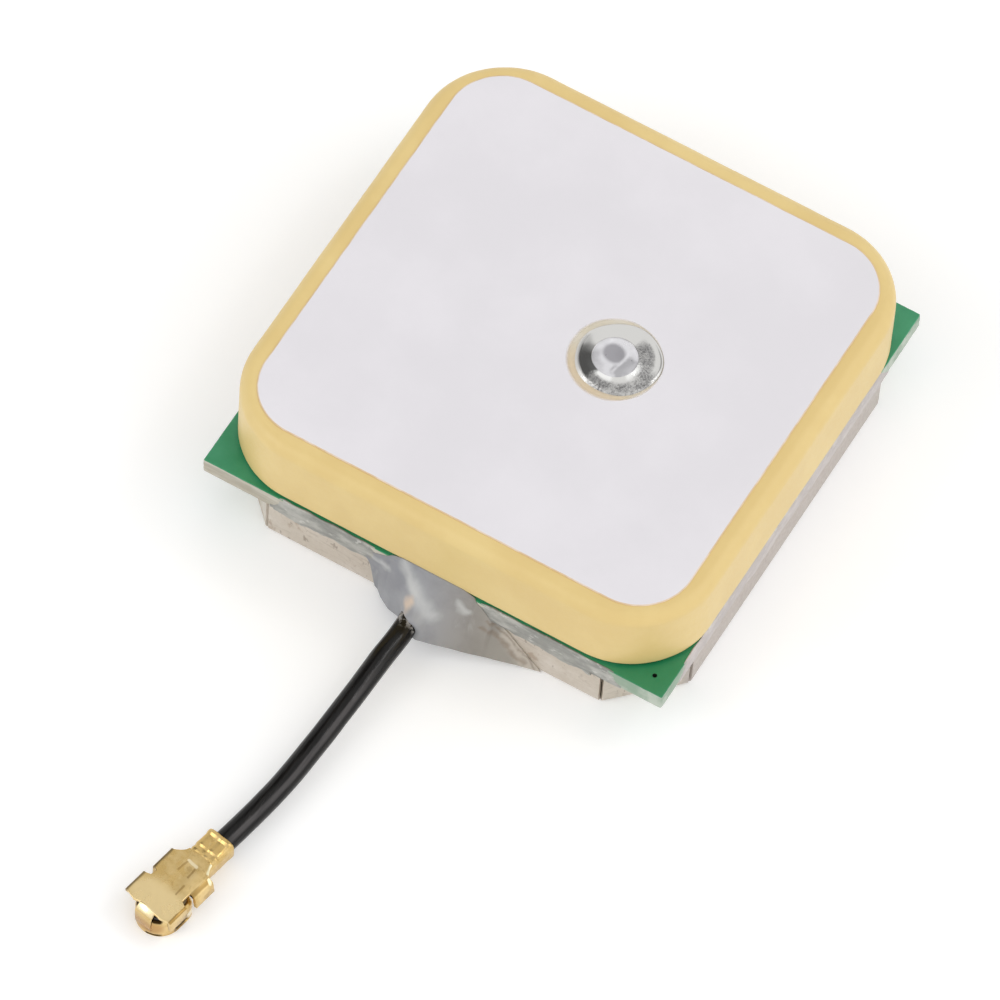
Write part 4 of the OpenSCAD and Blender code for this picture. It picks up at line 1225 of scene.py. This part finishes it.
def crimpShell(p):
    outer, inner = [], []
    for u, swell in p["bands"]:
        ring, bore = [], []
        for i in range(p["crimpSteps"]):
            a = fullTurn * i / p["crimpSteps"]
            c, s = math.cos(a), math.sin(a)
            power, tall = (5.0, p["crimpTall"][0]) if s > 0 else (2.2, p["crimpTall"][1])
            square = squareRound(a, power)
            v = p["crimpWide"] * c * square * (1 + 0.4 * swell)
            w = tall * s * square + (swell if s > 0 else 0) * min(1.0, abs(s) * square)
            if w > 0.3:
                w -= p["seamDeep"] * math.exp(-((v - 0.02) / 0.13) ** 2)
            ring.append(plugSpot(u, v, p["crimpHigh"] + w))
            bore.append(plugSpot(u, p["bore"] * c, p["crimpHigh"] + p["bore"] * s))
        outer.append(ring)
        inner.append(bore)
    return bridgeRings(outer + inner[::-1], closed=True)


def ringShell(p):
    # round at the front, straight-sided behind, with cut-outs along its foot
    front, back, side = p["ring"]
    wall, high = p["ringWall"], p["ringHigh"]

    def groove(u, v, z):
        turn = math.degrees(math.atan2(v, u))
        beside, before = 0.0, 0.0
        if v > 0.8 and 0.05 < z < 0.43:
            beside = p["groove"] * smoothStep(-0.62, -0.54, u) * (1 - smoothStep(0.12, 0.2, u))
        if 0.07 < z < 0.2:
            before = p["groove"] * smoothStep(6, 10, turn) * (1 - smoothStep(42, 47, turn))
        return max(beside, before)
    profile = [(wall, 0.1), (wall - 0.02, 0.03), (wall - 0.055, 0.0), (0.03, 0.01), (0.0, 0.045)]
    profile += [(0.0, z) for z in (0.07, 0.075, 0.12, 0.19, 0.2, 0.3, 0.42, 0.43, 0.5)]
    profile += [(0.0, high - 0.3), (0.03, high - 0.12), (0.1, high)]
    profile += [(wall + 0.1, high), (wall, high - 0.15)]
    rings = []
    for inset, z in profile:
        ring = []
        for i in range(p["ringSteps"]):
            a = fullTurn * i / p["ringSteps"]
            c, s = math.cos(a), math.sin(a)
            power, long = (2.0, front) if c > 0 else (6.0, back)
            swell = squareRound(a, power)
            deep = groove(front * c, side * s * swell, z) if inset < 0.02 else inset
            ring.append(plugSpot((long - deep) * c * swell, (side - deep) * s * swell, z))
        rings.append(ring)
    return bridgeRings(rings, closed=True)


def makePlug(p):
    shells = [crimpShell(p), ringShell(p)]
    # left tabs with rolled edges, right flaps folded down, the rear one in two bends
    shells.append(sideFlap(p, -2.25, -0.95, -1, p["rearLeft"], foldLine(0.11, 0.7)))
    shells.append(sideFlap(p, -0.47, 0.78, -1, p["frontLeft"], foldLine(0.11, 0.15)))
    shells.append(sideFlap(p, -2.21, -0.97, 1, p["rearRight"], foldStart + p["twice"]))
    shells.append(sideFlap(p, -0.32, 0.82, 1, p["frontRight"], foldLine(0.13, 0.6, 86)))
    # strap over the front, chamfered before it turns down
    section = bentStrip(foldStart + p["over"], p["sheet"])
    ends = [[plugSpot(p["strapFrom"] + u, v, p["high"] + w) for u, w in section] for v in p["strap"]]
    shells.append(loft(ends))
    piece = roundEdges(meshPiece("plugShell", *joinShells(shells), [giltShell], sharp=40), 0.02)
    whole = joinMeshes("plugShell", [piece.data, plugPlate(p)])
    bpy.data.objects.remove(piece)
    piece = dressMesh("plugShell", whole, sharp=32)
    flats = piece.modifiers.new("flats", "WEIGHTED_NORMAL")
    flats.keep_sharp = True
    return bakeModifiers(piece)


settle(makePlug(plug), "gilt", "plug_shell")
print("plug made")


# pieces that keep the shape of their solids

inside = {"ground_electrode": firedSilver, "adhesive_pad": tapePad, "pin_solder": smearedSolder,
          "saw_filter": chipBrown, "filter_lid": giltShell, "first_amplifier": mouldedBlack,
          "second_amplifier": mouldedBlack, "capacitors": chipBrown, "resistors": chipBlack,
          "inductors": chipBlue, "coax_dielectric": milkyCore, "coax_core": copperStrands,
          "braid_solder": smearedSolder,
          "core_solder": smearedSolder, "plug_insulator": mouldedBlack, "plug_contact": giltShell}

for name, finish in inside.items():
    piece = cadNodes[name]
    if not piece.material_slots:
        piece.data.materials.append(finish)
    for slot in piece.material_slots:
        slot.material = finish
print("inner pieces finished:", len(inside))


# floor, light and camera; zones of the sky: direction, outer and inner angle, level

studio = {"floor": 3000.0, "floorDrop": 0.02, "floorSides": 64, "floorGlow": 0.16, "sky": 0.945,
          "zones": [((-0.62, 0.13, 0.77), 25, 17, 0.11), ((-0.55, 0.31, 0.77), 17, 10, 0.11),
                    ((0.16, 0.69, 0.70), 16, 7, 0.45), ((0.525, 0.379, 0.763), 19, 11, 1.8),
                    ((0.84, 0.341, 0.422), 19, 11, 1.6)],
          "boxes": {"keyBox": {"from": (-0.5, -0.57, 0.65), "far": 0.75, "size": 0.3, "power": 0.62},
                    "fillBox": {"from": (0.80, -0.25, 0.55), "far": 0.8, "size": 0.5, "power": 0.25},
                    "streakBox": {"from": (0.45, 0.35, 0.82), "far": 0.75, "size": 0.08, "power": 0.15}}}


def grey(level):
    return (level, level, level, 1)


def makeFloor(s):
    p = paint("paleFloor", {"Roughness": 0.9, "Specular IOR Level": 0.0, "Emission Color": grey(1)})
    p.colour = p.mix(p.clouds(6.0, 0.3, 0.4)["Mask"], grey(0.93), grey(0.95))
    rays = p.add("ShaderNodeLightPath")
    seen = p.maths("MAXIMUM", rays["Is Camera Ray"], rays["Is Glossy Ray"])
    seen = p.maths("MAXIMUM", seen, rays["Is Transmission Ray"])
    p.join(p.times(seen, s["floorGlow"]), p.surface["Emission Strength"])
    outline = turned([(s["floor"], -s["floorDrop"])], (0, 0), s["floorSides"])[0]
    floor = meshPiece("paleFloor", outline, [tuple(range(s["floorSides"]))], [p.finish()])
    for polygon in floor.data.polygons:
        if polygon.normal.z < 0:
            polygon.flip()


def makeSky(s):
    world = bpy.data.worlds.new("studioSky")
    world.use_nodes = True
    net = nodeNet(world.node_tree)
    net.tree.nodes.clear()
    ray = net.vectors("NORMALIZE", net.add("ShaderNodeTexCoord")["Generated"])
    shade = grey(s["sky"])
    for direction, outer, inner, level in s["zones"]:
        near = net.dot(ray, Vector(direction).normalized())
        zone = net.ranged(near, math.cos(math.radians(outer)), math.cos(math.radians(inner)))
        shade = net.mix(zone, shade, grey(level))
    colour = net.mix(net.add("ShaderNodeLightPath")["Is Camera Ray"], shade, grey(1))
    back = net.add("ShaderNodeBackground", {"Color": colour, "Strength": 1.0})[0]
    net.add("ShaderNodeOutputWorld", {0: back})
    bpy.context.scene.world = world


def makeBoxes(s):
    for name, box in s["boxes"].items():
        lamp = bpy.data.lights.new(name, "AREA")
        lamp.size, lamp.energy = box["size"], box["power"]
        softBox = addObject(name, lamp)
        away = Vector(box["from"]).normalized()
        softBox.location = away * box["far"]
        softBox.rotation_euler = away.to_track_quat("Z", "Y").to_euler()


camera = {"lens": 393.843, "sensor": 36.0, "clip": (0.01, 20.0), "place": (120.105, -248.629, 441.821),
          "right": (0.86368, 0.50236, 0.04125), "up": (-0.44723, 0.72601, 0.52238),
          "back": (0.23248, -0.46962, 0.85171)}


def makeCamera(c):
    lens = bpy.data.cameras.new("photoCamera")
    lens.lens, lens.sensor_width, lens.sensor_fit = c["lens"], c["sensor"], "HORIZONTAL"
    lens.clip_start, lens.clip_end = c["clip"]
    eye = addObject("photoCamera", lens)
    axes = Matrix((c["right"], c["up"], c["back"])).transposed().to_4x4()
    eye.matrix_world = Matrix.Translation(Vector(c["place"]) * mm) @ axes
    bpy.context.scene.camera = eye


makeFloor(studio)
makeSky(studio)
makeBoxes(studio)
makeCamera(camera)
bpy.context.scene.view_settings.view_transform = "Standard"
print("floor, light and camera set")
